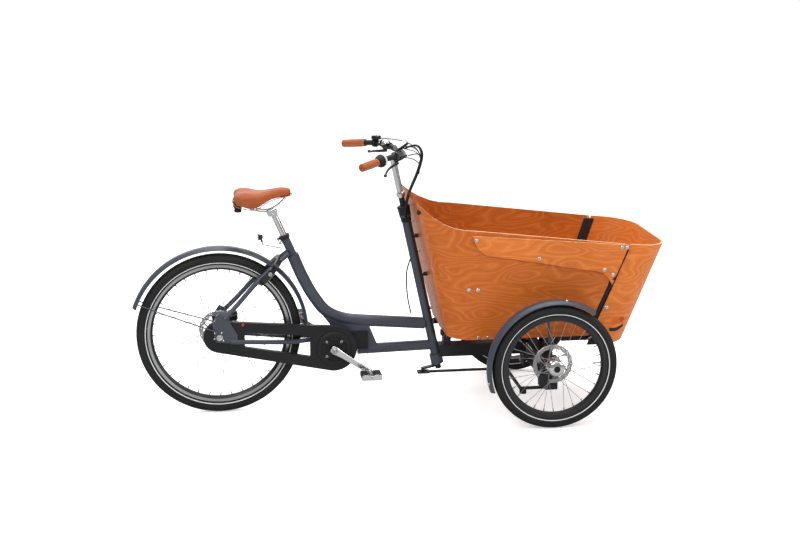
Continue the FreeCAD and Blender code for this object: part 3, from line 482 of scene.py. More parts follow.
def piece(name: str, shape: Build | bpy.types.Mesh, finish: Finish, body: str, angle: float = 32.0,
          extra: Sequence[Finish] = (), bevel: float = 0.0, segments: int = 3,
          replaces: str = "") -> bpy.types.Object:
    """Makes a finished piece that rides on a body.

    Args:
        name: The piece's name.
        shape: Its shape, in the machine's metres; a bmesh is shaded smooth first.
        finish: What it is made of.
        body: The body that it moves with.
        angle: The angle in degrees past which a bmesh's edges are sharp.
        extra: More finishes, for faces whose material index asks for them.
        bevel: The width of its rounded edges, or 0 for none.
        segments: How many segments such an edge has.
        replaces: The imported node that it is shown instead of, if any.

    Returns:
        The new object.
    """
    mesh = shape if isinstance(shape, bpy.types.Mesh) else mesh_of(name, shape, angle)
    made = bpy.data.objects.new(name, mesh)
    bpy.context.scene.collection.objects.link(made)
    for each in (finish, *extra):
        mesh.materials.append(each.build())
    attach(made, body)
    if bevel:
        soften(made, bevel, segments)
    if replaces:
        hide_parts(replaces)
    LOG.info("%s rides on %s", name, body)
    return made


def mesh_of(name: str, build: Build, angle: float = 32.0) -> bpy.types.Mesh:
    """Turns a bmesh into a smooth-shaded mesh, with its normals outward."""
    bmesh.ops.recalc_face_normals(build, faces=build.faces)
    mesh = bpy.data.meshes.new(name)
    build.to_mesh(mesh)
    build.free()
    smooth(mesh, angle)
    return mesh


def polar(radius: float, angle: float, height: float = 0.0) -> Vector:
    """A point round local Z."""
    return Vector((radius * math.cos(angle), radius * math.sin(angle), height))


def outward(degrees: float) -> Vector:
    """The way out from an axle, by its angle above straight ahead."""
    angle = math.radians(degrees)
    return Vector((math.cos(angle), 0, math.sin(angle)))


def sideways(centre: Vector) -> Matrix:
    """A transform that lays a local XY outline along the side of the machine, at a centre."""
    return Matrix.Translation(centre) @ Matrix.Rotation(math.pi / 2, 4, "X")


def loft(build: Build, rows: Sequence[list[bmesh.types.BMVert]], closed: bool = True,
         capped: bool = True) -> None:
    """Joins rows of vertices with faces.

    Args:
        build: The bmesh that takes the faces.
        rows: The rows, all of one length.
        closed: Whether each row is a ring.
        capped: Whether the first and last rows are filled.
    """
    count = len(rows[0])
    for low, high in zip(rows, rows[1:]):
        for step in range(count if closed else count - 1):
            other = (step + 1) % count
            build.faces.new([low[step], low[other], high[other], high[step]])
    if capped:
        build.faces.new(rows[0][::-1])
        build.faces.new(rows[-1])


def axis_matrix(centre: Vector, direction: Vector) -> Matrix:
    """A transform that takes local Z to a direction, and the origin to a centre."""
    turn = direction.normalized().to_track_quat("Z", "Y").to_matrix().to_4x4()
    return Matrix.Translation(centre) @ turn


def lathe(build: Build, profile: Outline, matrix: Matrix, steps: int = 64,
          index: Callable[[int], int] | None = None, wave: Callable[[int, int],
                                                                    float] | None = None) -> None:
    """Turns a closed or open profile of (radius, height) points round local Z.

    Args:
        build: The bmesh that takes the faces.
        profile: The points, closed if the first and last are the same.
        matrix: Where local Z lies.
        steps: How many parts the turn has.
        index: Gives each profile span its material index.
        wave: Gives each (step, point) a change of radius.
    """
    closed = profile[0] == profile[-1]
    points = list(profile[:-1]) if closed else list(profile)
    rings = []
    for step in range(steps):
        angle = 2 * math.pi * step / steps
        row = []
        for number, (radius, height) in enumerate(points):
            reach = radius + (wave(step, number) if wave else 0.0)
            row.append(build.verts.new(matrix @ polar(reach, angle, height)))
        rings.append(row)
    spans = len(points) if closed else len(points) - 1
    for step in range(steps):
        here, after = rings[step], rings[(step + 1) % steps]
        for number in range(spans):
            other = (number + 1) % len(points)
            corners = [here[number], here[other], after[other], after[number]]
            face = build.faces.new(corners)
            face.material_index = index(number) if index else 0


def capped_lathe(build: Build, profile: Outline, matrix: Matrix, steps: int = 48) -> None:
    """Turns a profile that starts and ends on the axis, and closes both ends with flat faces."""
    inner = [(max(radius, 1e-5), height) for radius, height in profile]
    lathe(build, inner, matrix, steps)
    bmesh.ops.holes_fill(build, edges=[e for e in build.edges if e.is_boundary], sides=steps)


def curve_mesh(name: str, points: Sequence[Point], radius: float, sides: int = 5,
               taper: Sequence[float] | None = None) -> bpy.types.Mesh:
    """A round tube along a smooth curve through its control points, as a mesh.

    Args:
        name: The mesh's name.
        points: The curve's control points.
        radius: The tube's radius.
        sides: The fineness of its section.
        taper: A share of the radius at each point.

    Returns:
        The mesh.
    """
    data = bpy.data.curves.new(name, "CURVE")
    data.dimensions = "3D"
    data.bevel_depth = radius
    data.bevel_resolution = sides
    data.use_fill_caps = True
    data.resolution_u = 12
    spline = data.splines.new("NURBS")
    spline.points.add(len(points) - 1)
    for index, (spot, into) in enumerate(zip(points, spline.points)):
        into.co = (*spot, 1)
        into.radius = taper[index] if taper else 1.0
    spline.order_u = 3 if len(points) > 2 else 2
    spline.use_endpoint_u = True
    holder = bpy.data.objects.new(name + "_line", data)
    bpy.context.scene.collection.objects.link(holder)
    bpy.context.view_layer.update()
    mesh = bpy.data.meshes.new_from_object(holder.evaluated_get(bpy.context.evaluated_depsgraph_get()))
    bpy.data.objects.remove(holder)
    bpy.data.curves.remove(data)
    mesh.name = name
    mesh.materials.clear()
    smooth(mesh, 50)
    return mesh


def centreline(points: Sequence[Point]) -> list[Vector]:
    """The points of the smooth curve that a tube through these control points follows."""
    mesh = curve_mesh("centreline", points, 0.0)
    path = [spot.co.copy() for spot in mesh.vertices]
    bpy.data.meshes.remove(mesh)
    return path


def soften(made: bpy.types.Object, width: float, segments: int = 3) -> None:
    """Rounds the edges of a piece with a bevel."""
    bevel = made.modifiers.new("rounded_edges", "BEVEL")
    bevel.width = width
    bevel.segments = segments
    bevel.limit_method = "ANGLE"
    bevel.angle_limit = math.radians(35)
    bevel.harden_normals = False


def prism(build: Build, outline: Outline, depth: float, matrix: Matrix) -> None:
    """Extrudes a local XY outline to a depth each side of its plane."""
    low = [build.verts.new(matrix @ Vector((x, y, -depth / 2))) for x, y in outline]
    high = [build.verts.new(matrix @ Vector((x, y, depth / 2))) for x, y in outline]
    build.faces.new(low[::-1])
    build.faces.new(high)
    count = len(outline)
    for index in range(count):
        other = (index + 1) % count
        build.faces.new([low[index], low[other], high[other], high[index]])


def washer(build: Build, centre: Vector, direction: Vector, inner: float, outer: float, height: float,
           steps: int = 28) -> None:
    """A flat washer, open on its bore, that stands on a surface."""
    profile = [(inner, 0.0), (outer, 0.0), (outer, height), (inner, height)]
    lathe(build, profile, axis_matrix(centre, direction), steps)


def clamp_band(outer: float, half: float) -> Outline:
    """The profile of a clamp round the bar, with chamfered rims."""
    return [(BAR_BORE, -half), (outer - 0.001, -half), (outer, 0.0015 - half), (outer, half - 0.0015),
            (outer - 0.001, half), (BAR_BORE, half), (BAR_BORE, -half)]


def oblong(half_x: float, half_y: float) -> Outline:
    """A plain rectangle."""
    return [(-half_x, -half_y), (half_x, -half_y), (half_x, half_y), (-half_x, half_y)]


def soft_box(half_x: float, half_y: float, power: float, steps: int, shift: float = 0.0) -> Outline:
    """A rectangle with rounded corners, squarer for a smaller power."""
    turns = [2 * math.pi * (step + shift) / steps for step in range(steps)]
    return [(half_x * math.copysign(abs(math.cos(a)) ** power, math.cos(a)),
             half_y * math.copysign(abs(math.sin(a)) ** power, math.sin(a))) for a in turns]


def thicken(made: bpy.types.Object, thickness: float) -> None:
    """Gives an open sheet a thickness, half of it on each side."""
    solid = made.modifiers.new("thickness", "SOLIDIFY")
    solid.thickness, solid.offset = thickness, 0.0


def bolt(build: Build, centre: Vector, direction: Vector, radius: float, height: float) -> None:
    """A domed bolt head with a six-sided socket, standing on a surface.

    Args:
        build: The bmesh that takes the faces.
        centre: The middle of the head's seat.
        direction: The way that the head faces.
        radius: The head's radius.
        height: The head's height.
    """
    matrix = axis_matrix(centre, direction)
    dome = [(radius, -height * 0.4), (radius, height * 0.25), (radius * 0.93, height * 0.6),
            (radius * 0.75, height * 0.9), (radius * 0.55, height)]
    steps = 24
    lathe(build, dome, matrix, steps)
    socket = []
    for step in range(steps):
        angle = 2 * math.pi * step / steps
        local = (angle + math.pi / 6) % (math.pi / 3) - math.pi / 6
        reach = radius * 0.42 / math.cos(local)
        socket.append((reach * math.cos(angle), reach * math.sin(angle)))
    outer = [build.verts.new(matrix @ polar(radius * 0.55, 2 * math.pi * s / steps,
                                            height)) for s in range(steps)]
    lip = [build.verts.new(matrix @ Vector((x, y, height))) for x, y in socket]
    base = [build.verts.new(matrix @ Vector((x, y, height * 0.35))) for x, y in socket]
    for step in range(steps):
        other = (step + 1) % steps
        build.faces.new([outer[step], outer[other], lip[other], lip[step]])
        build.faces.new([lip[step], lip[other], base[other], base[step]])
    build.faces.new(base)


def middle(node: str) -> Vector:
    """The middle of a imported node's box."""
    low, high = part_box(node)
    return (low + high) / 2


def dress(node: str, finish: Finish, bevel: float = 0.0) -> None:
    """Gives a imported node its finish, and rounds its edges a little."""
    made = frame["nodes"][node]
    made.data.materials.clear()
    made.data.materials.append(finish.build())
    made.data.polygons.foreach_set("material_index", [0] * len(made.data.polygons))
    if bevel:
        soften(made, bevel, 2)


def joint(name: str) -> dict:
    """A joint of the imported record, by name."""
    return next(each for each in frame["joints"] if each["name"] == name)


def pivot(name: str) -> Vector:
    """Where a hinge sits, in metres."""
    return Vector(joint(name)["pos_m"])


def axis(name: str) -> Vector:
    """The way that a joint turns about or slides along."""
    return Vector(joint(name)["axis"]).normalized()


def strut(build: Build, start: Vector, end: Vector, radius: float, sides: int = 8,
          end_radius: float | None = None) -> None:
    """A straight round rod between two points, closed at both ends."""
    run = end - start
    matrix = axis_matrix(start, run)
    last = radius if end_radius is None else end_radius
    rows = []
    for reach, height in ((radius, 0.0), (last, run.length)):
        rows.append([build.verts.new(matrix @ polar(reach, 2 * math.pi * s / sides,
                                                    height)) for s in range(sides)])
    loft(build, rows)


def hex_nut(build: Build, centre: Vector, direction: Vector, radius: float, height: float) -> None:
    """A six-sided nut with a chamfered top, seated at a point."""
    matrix = axis_matrix(centre, direction)
    rows = []
    for share, level in ((1.0, 0.0), (1.0, height * 0.8), (0.88, height)):
        rows.append([build.verts.new(matrix @ polar(radius * share, math.pi * s / 3,
                                                    level)) for s in range(6)])
    loft(build, rows)


def islands(node: str) -> list[tuple[Vector, Vector]]:
    """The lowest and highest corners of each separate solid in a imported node."""
    mesh = frame["nodes"][node].data
    parent = list(range(len(mesh.vertices)))

    def root(index: int) -> int:
        """The first vertex of a vertex's group."""
        while parent[index] != index:
            parent[index] = parent[parent[index]]
            index = parent[index]
        return index

    places: dict[tuple, int] = {}
    for vertex in mesh.vertices:
        key = tuple(round(c, 5) for c in vertex.co)
        parent[root(vertex.index)] = root(places.setdefault(key, vertex.index))
    for edge in mesh.edges:
        parent[root(edge.vertices[0])] = root(edge.vertices[1])
    groups: dict[int, list[Vector]] = {}
    for vertex in mesh.vertices:
        groups.setdefault(root(vertex.index), []).append(vertex.co)
    found = []
    for points in groups.values():
        low = Vector([min(p[k] for p in points) for k in range(3)])
        high = Vector([max(p[k] for p in points) for k in range(3)])
        found.append((low, high))
    return sorted(found, key=lambda pair: tuple(pair[0]))


# Studio


@dataclass
class Studio:
    """The camera, a pale floor and soft lights."""

    camera_place: Point = (-0.8546, -5.8492, 1.9974)
    yaw: float = 8.457
    pitch: float = 13.465
    roll: float = 0.168
    lens: float = 67.35

    def camera(self) -> None:
        """Makes the camera and sets it as the scene's own."""
        data = bpy.data.cameras.new("camera")
        data.lens = self.lens
        data.sensor_width = 36.0
        data.clip_end = 60.0
        made = bpy.data.objects.new("camera", data)
        bpy.context.scene.collection.objects.link(made)
        made.location = self.camera_place
        yaw, pitch = math.radians(self.yaw), math.radians(self.pitch)
        ahead = Vector((math.sin(yaw) * math.cos(pitch), math.cos(yaw) * math.cos(pitch), -math.sin(pitch)))
        made.rotation_mode = "QUATERNION"
        made.rotation_quaternion = ahead.to_track_quat("-Z", "Y")
        made.rotation_quaternion @= Matrix.Rotation(math.radians(self.roll), 4, "Z").to_quaternion()
        bpy.context.scene.camera = made

    def floor(self) -> None:
        """Makes the pale floor."""
        build = bmesh.new()
        bmesh.ops.create_grid(build, x_segments=8, y_segments=8, size=14)
        mesh = bpy.data.meshes.new("floor")
        build.to_mesh(mesh)
        build.free()
        made = bpy.data.objects.new("floor", mesh)
        bpy.context.scene.collection.objects.link(made)
        made.location.z = -FLOOR_DROP
        material = bpy.data.materials.new("studio_floor")
        material.use_nodes = True
        wiring = Wiring(material.node_tree)
        shader = material.node_tree.nodes["Principled BSDF"]
        colour = wiring.blend(wiring.ramp(cloud(wiring, 0.6, 2), 0.3, 0.7), (0.93, 0.93, 0.93),
                              (0.95, 0.95, 0.95))
        mirrored = wiring.add("ShaderNodeLightPath").outputs["Is Glossy Ray"]
        wiring.link(wiring.blend(mirrored, colour, (0.42, 0.42, 0.42)), shader.inputs["Base Color"])
        shader.inputs["Roughness"].default_value = 0.9
        shader.inputs["Specular IOR Level"].default_value = 0.1
        shader.inputs["Emission Color"].default_value = (1, 1, 1, 1)
        seen = wiring.add("ShaderNodeLightPath").outputs["Is Camera Ray"]
        wiring.link(wiring.maths("MULTIPLY_ADD", seen, 0.42, 0.02), shader.inputs["Emission Strength"])
        mesh.materials.append(material)

    def light(self, name: str, place: Point, size: tuple[float, float], power: float) -> None:
        """Makes one soft rectangular light that looks at the machine.

        Args:
            name: The light's name.
            place: Where it stands.
            size: Its width and height.
            power: Its power in watts.
        """
        data = bpy.data.lights.new(name, "AREA")
        data.shape = "RECTANGLE"
        data.size, data.size_y = size
        data.energy = power
        made = bpy.data.objects.new(name, data)
        bpy.context.scene.collection.objects.link(made)
        made.location = place
        made.rotation_mode = "QUATERNION"
        made.rotation_quaternion = (LIGHTS_AIM - Vector(place)).to_track_quat("-Z", "Y")

    def lights(self) -> None:
        """Makes the lights and the white surroundings."""
        self.light("key", (-2.6, -4.2, 4.6), (3.2, 2.6), 175)
        self.light("overhead", (0.4, 0.6, 5.2), (5.0, 4.0), 210)
        self.light("front_fill", (4.6, -2.4, 2.6), (2.6, 2.6), 70)
        self.light("far_fill", (-1.0, 5.0, 3.2), (4.0, 2.4), 80)
        world = bpy.data.worlds.new("surroundings")
        bpy.context.scene.world = world
        world.use_nodes = True
        wiring = Wiring(world.node_tree)
        split = wiring.add("ShaderNodeSeparateXYZ")
        wiring.link(wiring.add("ShaderNodeTexCoord").outputs["Generated"], split.inputs[0])
        room = wiring.blend(wiring.ramp(split.outputs["Y"], -0.45, 0.5), (0.3, 0.3, 0.305),
                            (0.62, 0.62, 0.62))
        flags = wiring.ramp(wiring.maths("ABSOLUTE", split.outputs["X"]), 0.35, 0.75)
        room = wiring.blend(wiring.maths("MULTIPLY", flags, 0.7), room, (0.14, 0.14, 0.145))
        above = wiring.ramp(split.outputs["Z"], 0.35, 0.8)
        room = wiring.blend(above, room, (0.72, 0.72, 0.72))
        seen = wiring.add("ShaderNodeLightPath").outputs["Is Camera Ray"]
        background = world.node_tree.nodes["Background"]
        wiring.link(wiring.blend(seen, room, (1.0, 1.0, 1.0)), background.inputs["Color"])
        background.inputs["Strength"].default_value = 1.03
        bpy.context.scene.view_settings.view_transform = "Standard"

    def build(self) -> None:
        """Makes the whole studio, camera first."""
        self.camera()
        self.floor()
        self.lights()


# Wheels


@dataclass
class Wheel:
    """One spoked wheel: treaded tyre, rim, laced spokes, hub and brake disc."""

    prefix: str
    body: str
    hinge: str
    spokes: int
    hole_radius: float
    flange_offset: float
    rim_inner: float
    silver_track: bool
    disc_offset: float
    grooves: tuple[float, ...] = (9.0, 24.0, 40.0)
    stripe: tuple[float, float] = (114.0, 123.0)
    bead: float = 142.0
    tread_depth: float = 0.0014
    rim_half_width: float = 0.0155
    spoke_radius: float = 0.00105
    centre: Vector = field(init=False)
    radius: float = field(init=False)
    section: float = field(init=False)

    def __post_init__(self) -> None:
        """Reads the wheel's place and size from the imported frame."""
        self.centre = pivot(self.hinge)
        low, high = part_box(f"{self.prefix}_tyre")
        self.radius = (high.z - low.z) / 2
        self.section = (high.y - low.y) / 2

    @property
    def matrix(self) -> Matrix:
        """Takes local Z to the axle."""
        return axis_matrix(self.centre, LEFTWARD)

    def outline(self) -> tuple[Outline, list[float]]:
        """The tyre's section, with the angle of each point from straight outward in degrees."""
        angles = [(0.0, 0.0)]
        for groove in self.grooves:
            angles += [(groove - 1.6, 0.0), (groove - 0.9, 1.0), (groove + 0.9, 1.0), (groove + 1.6, 0.0)]
        angles += [(46, 0.0), (52, 0.3), (58, 1.0), (70, 1.0), (82, 1.0), (94, 1.0), (104, 1.0), (112, 1.0),
                   (self.stripe[0], 0.8), (self.stripe[1], 0.8), (126, 1.0), (134, 1.2), (self.bead, 1.6)]
        both = [(-a, d) for a, d in reversed(angles[1:])] + angles
        ring = self.radius - self.section
        points = []
        for angle, depth in both:
            reach = self.section - self.tread_depth * depth
            turn = math.radians(angle)
            points.append((ring + reach * math.cos(turn), reach * math.sin(turn)))
        return points, [a for a, _ in both]

    def tyre(self) -> None:
        """The tyre, with tread grooves, cross cuts and a reflective line on both sides."""
        points, angles = self.outline()
        steps = 216

        def cut(step: int, number: int) -> float:
            """Sinks the shoulder blocks apart from each other."""
            angle = abs(angles[number])
            shift = 1 if angles[number] > 0 else 3
            if 26 < angle < 56 and (step + shift) % 4 == 0:
                return -0.0016
            if 10 < angle < 23 and (step + shift) % 6 == 0:
                return -0.0012
            return 0.0

        def shade(number: int) -> int:
            """The reflective line's faces."""
            return 1 if abs((angles[number] + angles[number + 1]) / 2) in stripe_middle else 0

        stripe_middle = {(self.stripe[0] + self.stripe[1]) / 2}
        build = bmesh.new()
        lathe(build, points, self.matrix, steps, shade, cut)
        piece(f"{self.prefix}_treaded_tyre", build, TYRE_RUBBER, self.body, angle=38, extra=(STRIPE,),
              replaces=f"{self.prefix}_tyre")

    def rim(self) -> None:
        """The rim, its nipples, valve and laced spokes."""
        ring = self.radius - self.section
        outer = ring + self.section * math.cos(math.radians(self.bead)) + 0.0015
        wall = self.rim_half_width
        inner = self.rim_inner
        track = inner + (outer - inner) * (0.42 if self.silver_track else 0.2)
        points = [(outer, -wall), (outer, -wall + 0.002), (outer - 0.006, -wall + 0.003),
                  (outer - 0.01, 0.0),
                  (outer - 0.006, wall - 0.003), (outer, wall - 0.002), (outer, wall), (outer - 0.0015,
                                                                                        wall + 0.0006),
                  (track + 0.001, wall), (track, wall - 0.0012), (inner + 0.004, wall - 0.0045),
                  (inner, 0.005), (inner, -0.005), (inner + 0.004, -wall + 0.0045), (track, -wall + 0.0012),
                  (track + 0.001, -wall), (outer - 0.0015, -wall - 0.0006), (outer, -wall)]
        tracks = {7, 15} if self.silver_track else set()
        build = bmesh.new()
        lathe(build, points, self.matrix, 144, lambda number: 1 if number in tracks else 0)
        piece(f"{self.prefix}_rim_band", build, BLACK_RIM, self.body, angle=28, extra=(BRUSHED,),
              replaces=f"{self.prefix}_rim")
        self.lacing()
        self.valve()

    def spoke_ends(self, index: int) -> tuple[Vector, Vector]:
        """Where one spoke leaves its flange and meets the rim."""
        angle = 2 * math.pi * index / self.spokes
        side = 1 if index % 2 else -1
        lead = math.radians(56) * (1 if index % 4 < 2 else -1)
        bow = 0.0018 if index % 4 < 2 else -0.0018
        start = Vector((self.hole_radius * math.cos(angle - lead), side * self.flange_offset + bow,
                        self.hole_radius * math.sin(angle - lead)))
        end = Vector((self.rim_inner * math.cos(angle), side * 0.003, self.rim_inner * math.sin(angle)))
        return self.centre + start, self.centre + end

    def lacing(self) -> None:
        """Thin butted spokes, each with its elbow and nipple."""
        build = bmesh.new()
        for index in range(self.spokes):
            start, end = self.spoke_ends(index)
            run = (end - start).normalized()
            strut(build, start, end, self.spoke_radius, 7)
            strut(build, end - run * 0.013, end + run * 0.002, 0.0021, 8, 0.0026)
            across = Vector((0, 1 if index % 2 else -1, 0))
            strut(build, start - Vector((0, 0.003, 0)), start + Vector((0, 0.003, 0)), 0.0019, 8)
            strut(build, start + across * 0.0028, start + across * 0.0038, 0.0026, 8)
        piece(f"{self.prefix}_spokes", build, SPOKE_STEEL, self.body, angle=50)

    def valve(self) -> None:
        """The valve stem with its cap."""
        away = outward(3)
        seat = self.centre + away * self.rim_inner
        build = bmesh.new()
        strut(build, seat + away * 0.002, seat - away * 0.022, 0.0026, 12)
        strut(build, seat - away * 0.022, seat - away * 0.034, 0.0038, 12, 0.003)
        strut(build, seat, seat - away * 0.003, 0.0055, 12)
        piece(f"{self.prefix}_valve", build, BRUSHED, self.body)

    def disc(self) -> None:
        """The drilled brake disc with its wavy rim, on six curved arms."""
        build = bmesh.new()
        steps, rows = 144, (0.0625, 0.065, 0.0675, 0.07, 0.0725, 0.0755, 0.0795)
        place = Matrix.Translation(Vector((0, self.disc_offset, 0))) @ self.matrix
        rings = []
        for number, reach in enumerate(rows):
            rings.append([])
            for step in range(steps):
                angle = 2 * math.pi * step / steps
                wavy = 0.001 * math.cos(angle * 18) * (1 if number in (0, len(rows) - 1) else 0)
                rings[-1].append(build.verts.new(place @ polar(reach + wavy, angle)))
        for number in range(len(rows) - 1):
            for step in range(steps):
                if 0 < number < 5 and (step + 2 * number) % 8 == 0:
                    continue
                other = (step + 1) % steps
                build.faces.new([rings[number][step], rings[number][other], rings[number + 1][other],
                                 rings[number + 1][step]])
        for arm in range(6):
            rail = []
            for share in (0, 0.2, 0.4, 0.6, 0.8, 1.0):
                reach = 0.02 + 0.0435 * share
                angle = math.radians(60 * arm + 26 * share)
                width = (0.0075 - 0.005 * math.sin(math.pi * share) + 0.002 * share) / reach
                rail.append([build.verts.new(place @ polar(reach, angle + s * width / 2)) for s in (-1, 1)])
            loft(build, rail, closed=False, capped=False)
        made = piece(f"{self.prefix}_brake_disc", build, BRUSHED, self.body)
        thicken(made, 0.0019)

    def hub(self, profile: Outline, finish: Finish) -> None:
        """The turned hub shell with the ring of disc bolts."""
        build = bmesh.new()
        lathe(build, profile, self.matrix, 72)
        for index in range(6):
            angle = math.radians(60 * index + 12)
            spot = self.centre + Vector((0.016 * math.cos(angle), self.disc_offset,
                                         0.016 * math.sin(angle)))
            away = Vector((0, 1 if self.disc_offset > 0 else -1, 0))
            bolt(build, spot + away * 0.001, away, 0.003, 0.0022)
        piece(f"{self.prefix}_hub_shell", build, finish, self.body, angle=30, replaces=f"{self.prefix}_hub")

    def build(self, profile: Outline, finish: Finish) -> None:
        """Builds the whole wheel round its hub profile."""
        self.tyre()
        self.rim()
        self.disc()
        self.hub(profile, finish)


def front_wheel(side: Side) -> None:
    """Builds one front wheel with its polished hub and dark end cap."""
    out = side.value
    wheel = Wheel(f"front_{side.word}", f"front_wheel_{side.word}", f"front_{side.word}_wheel_spin",
                  spokes=28, hole_radius=0.0275, flange_offset=0.024, rim_inner=0.186, silver_track=False,
                  disc_offset=-out * 0.036)
    shell = [(0.0105, -0.034), (0.019, -0.034), (0.019, -0.0275), (0.0305, -0.0265), (0.032, -0.0245),
             (0.0305, -0.0225), (0.02, -0.021), (0.0165, -0.01), (0.0165, 0.01), (0.021, 0.0205),
             (0.0305, 0.0225), (0.032, 0.0245), (0.0325, 0.0275), (0.0312, 0.031), (0.027, 0.0345),
             (0.018, 0.0378), (0.013, 0.0388), (0.0128, 0.0372), (0.0105, 0.0372), (0.0105, -0.034)]
    wheel.build([(r, h * out) for r, h in shell], POLISHED)
    build = bmesh.new()
    cap = [(0.0, 0.0378), (0.0128, 0.0378), (0.0128, 0.0402), (0.0115, 0.0416), (0.0088, 0.0418),
           (0.008, 0.0404), (0.005, 0.04), (0.0042, 0.0424), (0.0, 0.043)]
    capped_lathe(build, [(r, h * out) for r, h in cap], wheel.matrix, 48)
    piece(f"front_{side.word}_axle_cap", build, MATT_PLASTIC, wheel.body)


def rear_wheel() -> None:
    """Builds the rear wheel with its large geared hub."""
    wheel = Wheel("rear", "rear_wheel", "rear_wheel_spin", spokes=36, hole_radius=0.0425,
                  flange_offset=0.03, rim_inner=0.264, silver_track=True, disc_offset=0.052)
    shell = [(0.0068, -0.037), (0.024, -0.037), (0.034, -0.035), (0.045, -0.0325), (0.0465, -0.0305),
             (0.045, -0.028), (0.0385, -0.0255), (0.037, -0.02), (0.0345, 0.0), (0.037, 0.02),
             (0.0385, 0.0255), (0.045, 0.028), (0.0465, 0.0305), (0.045, 0.0325), (0.03, 0.036),
             (0.0235, 0.0385), (0.0225, 0.05), (0.0215, 0.0515), (0.0068, 0.0515), (0.0068, -0.037)]
    wheel.build(shell, BRUSHED)


# Frame, drive and rear fittings


def column_spot(height: float, forward: float = 0.0, side: float = 0.0) -> Vector:
    """A point by its height on the steering column's axis, moved square to it and sideways."""
    foot, up = pivot("handlebar_steer"), axis("handlebar_steer")
    ahead = Vector((up.z, 0, -up.x))
    return foot + up * ((height - foot.z) / up.z) + ahead * forward + Vector((0, side, 0))


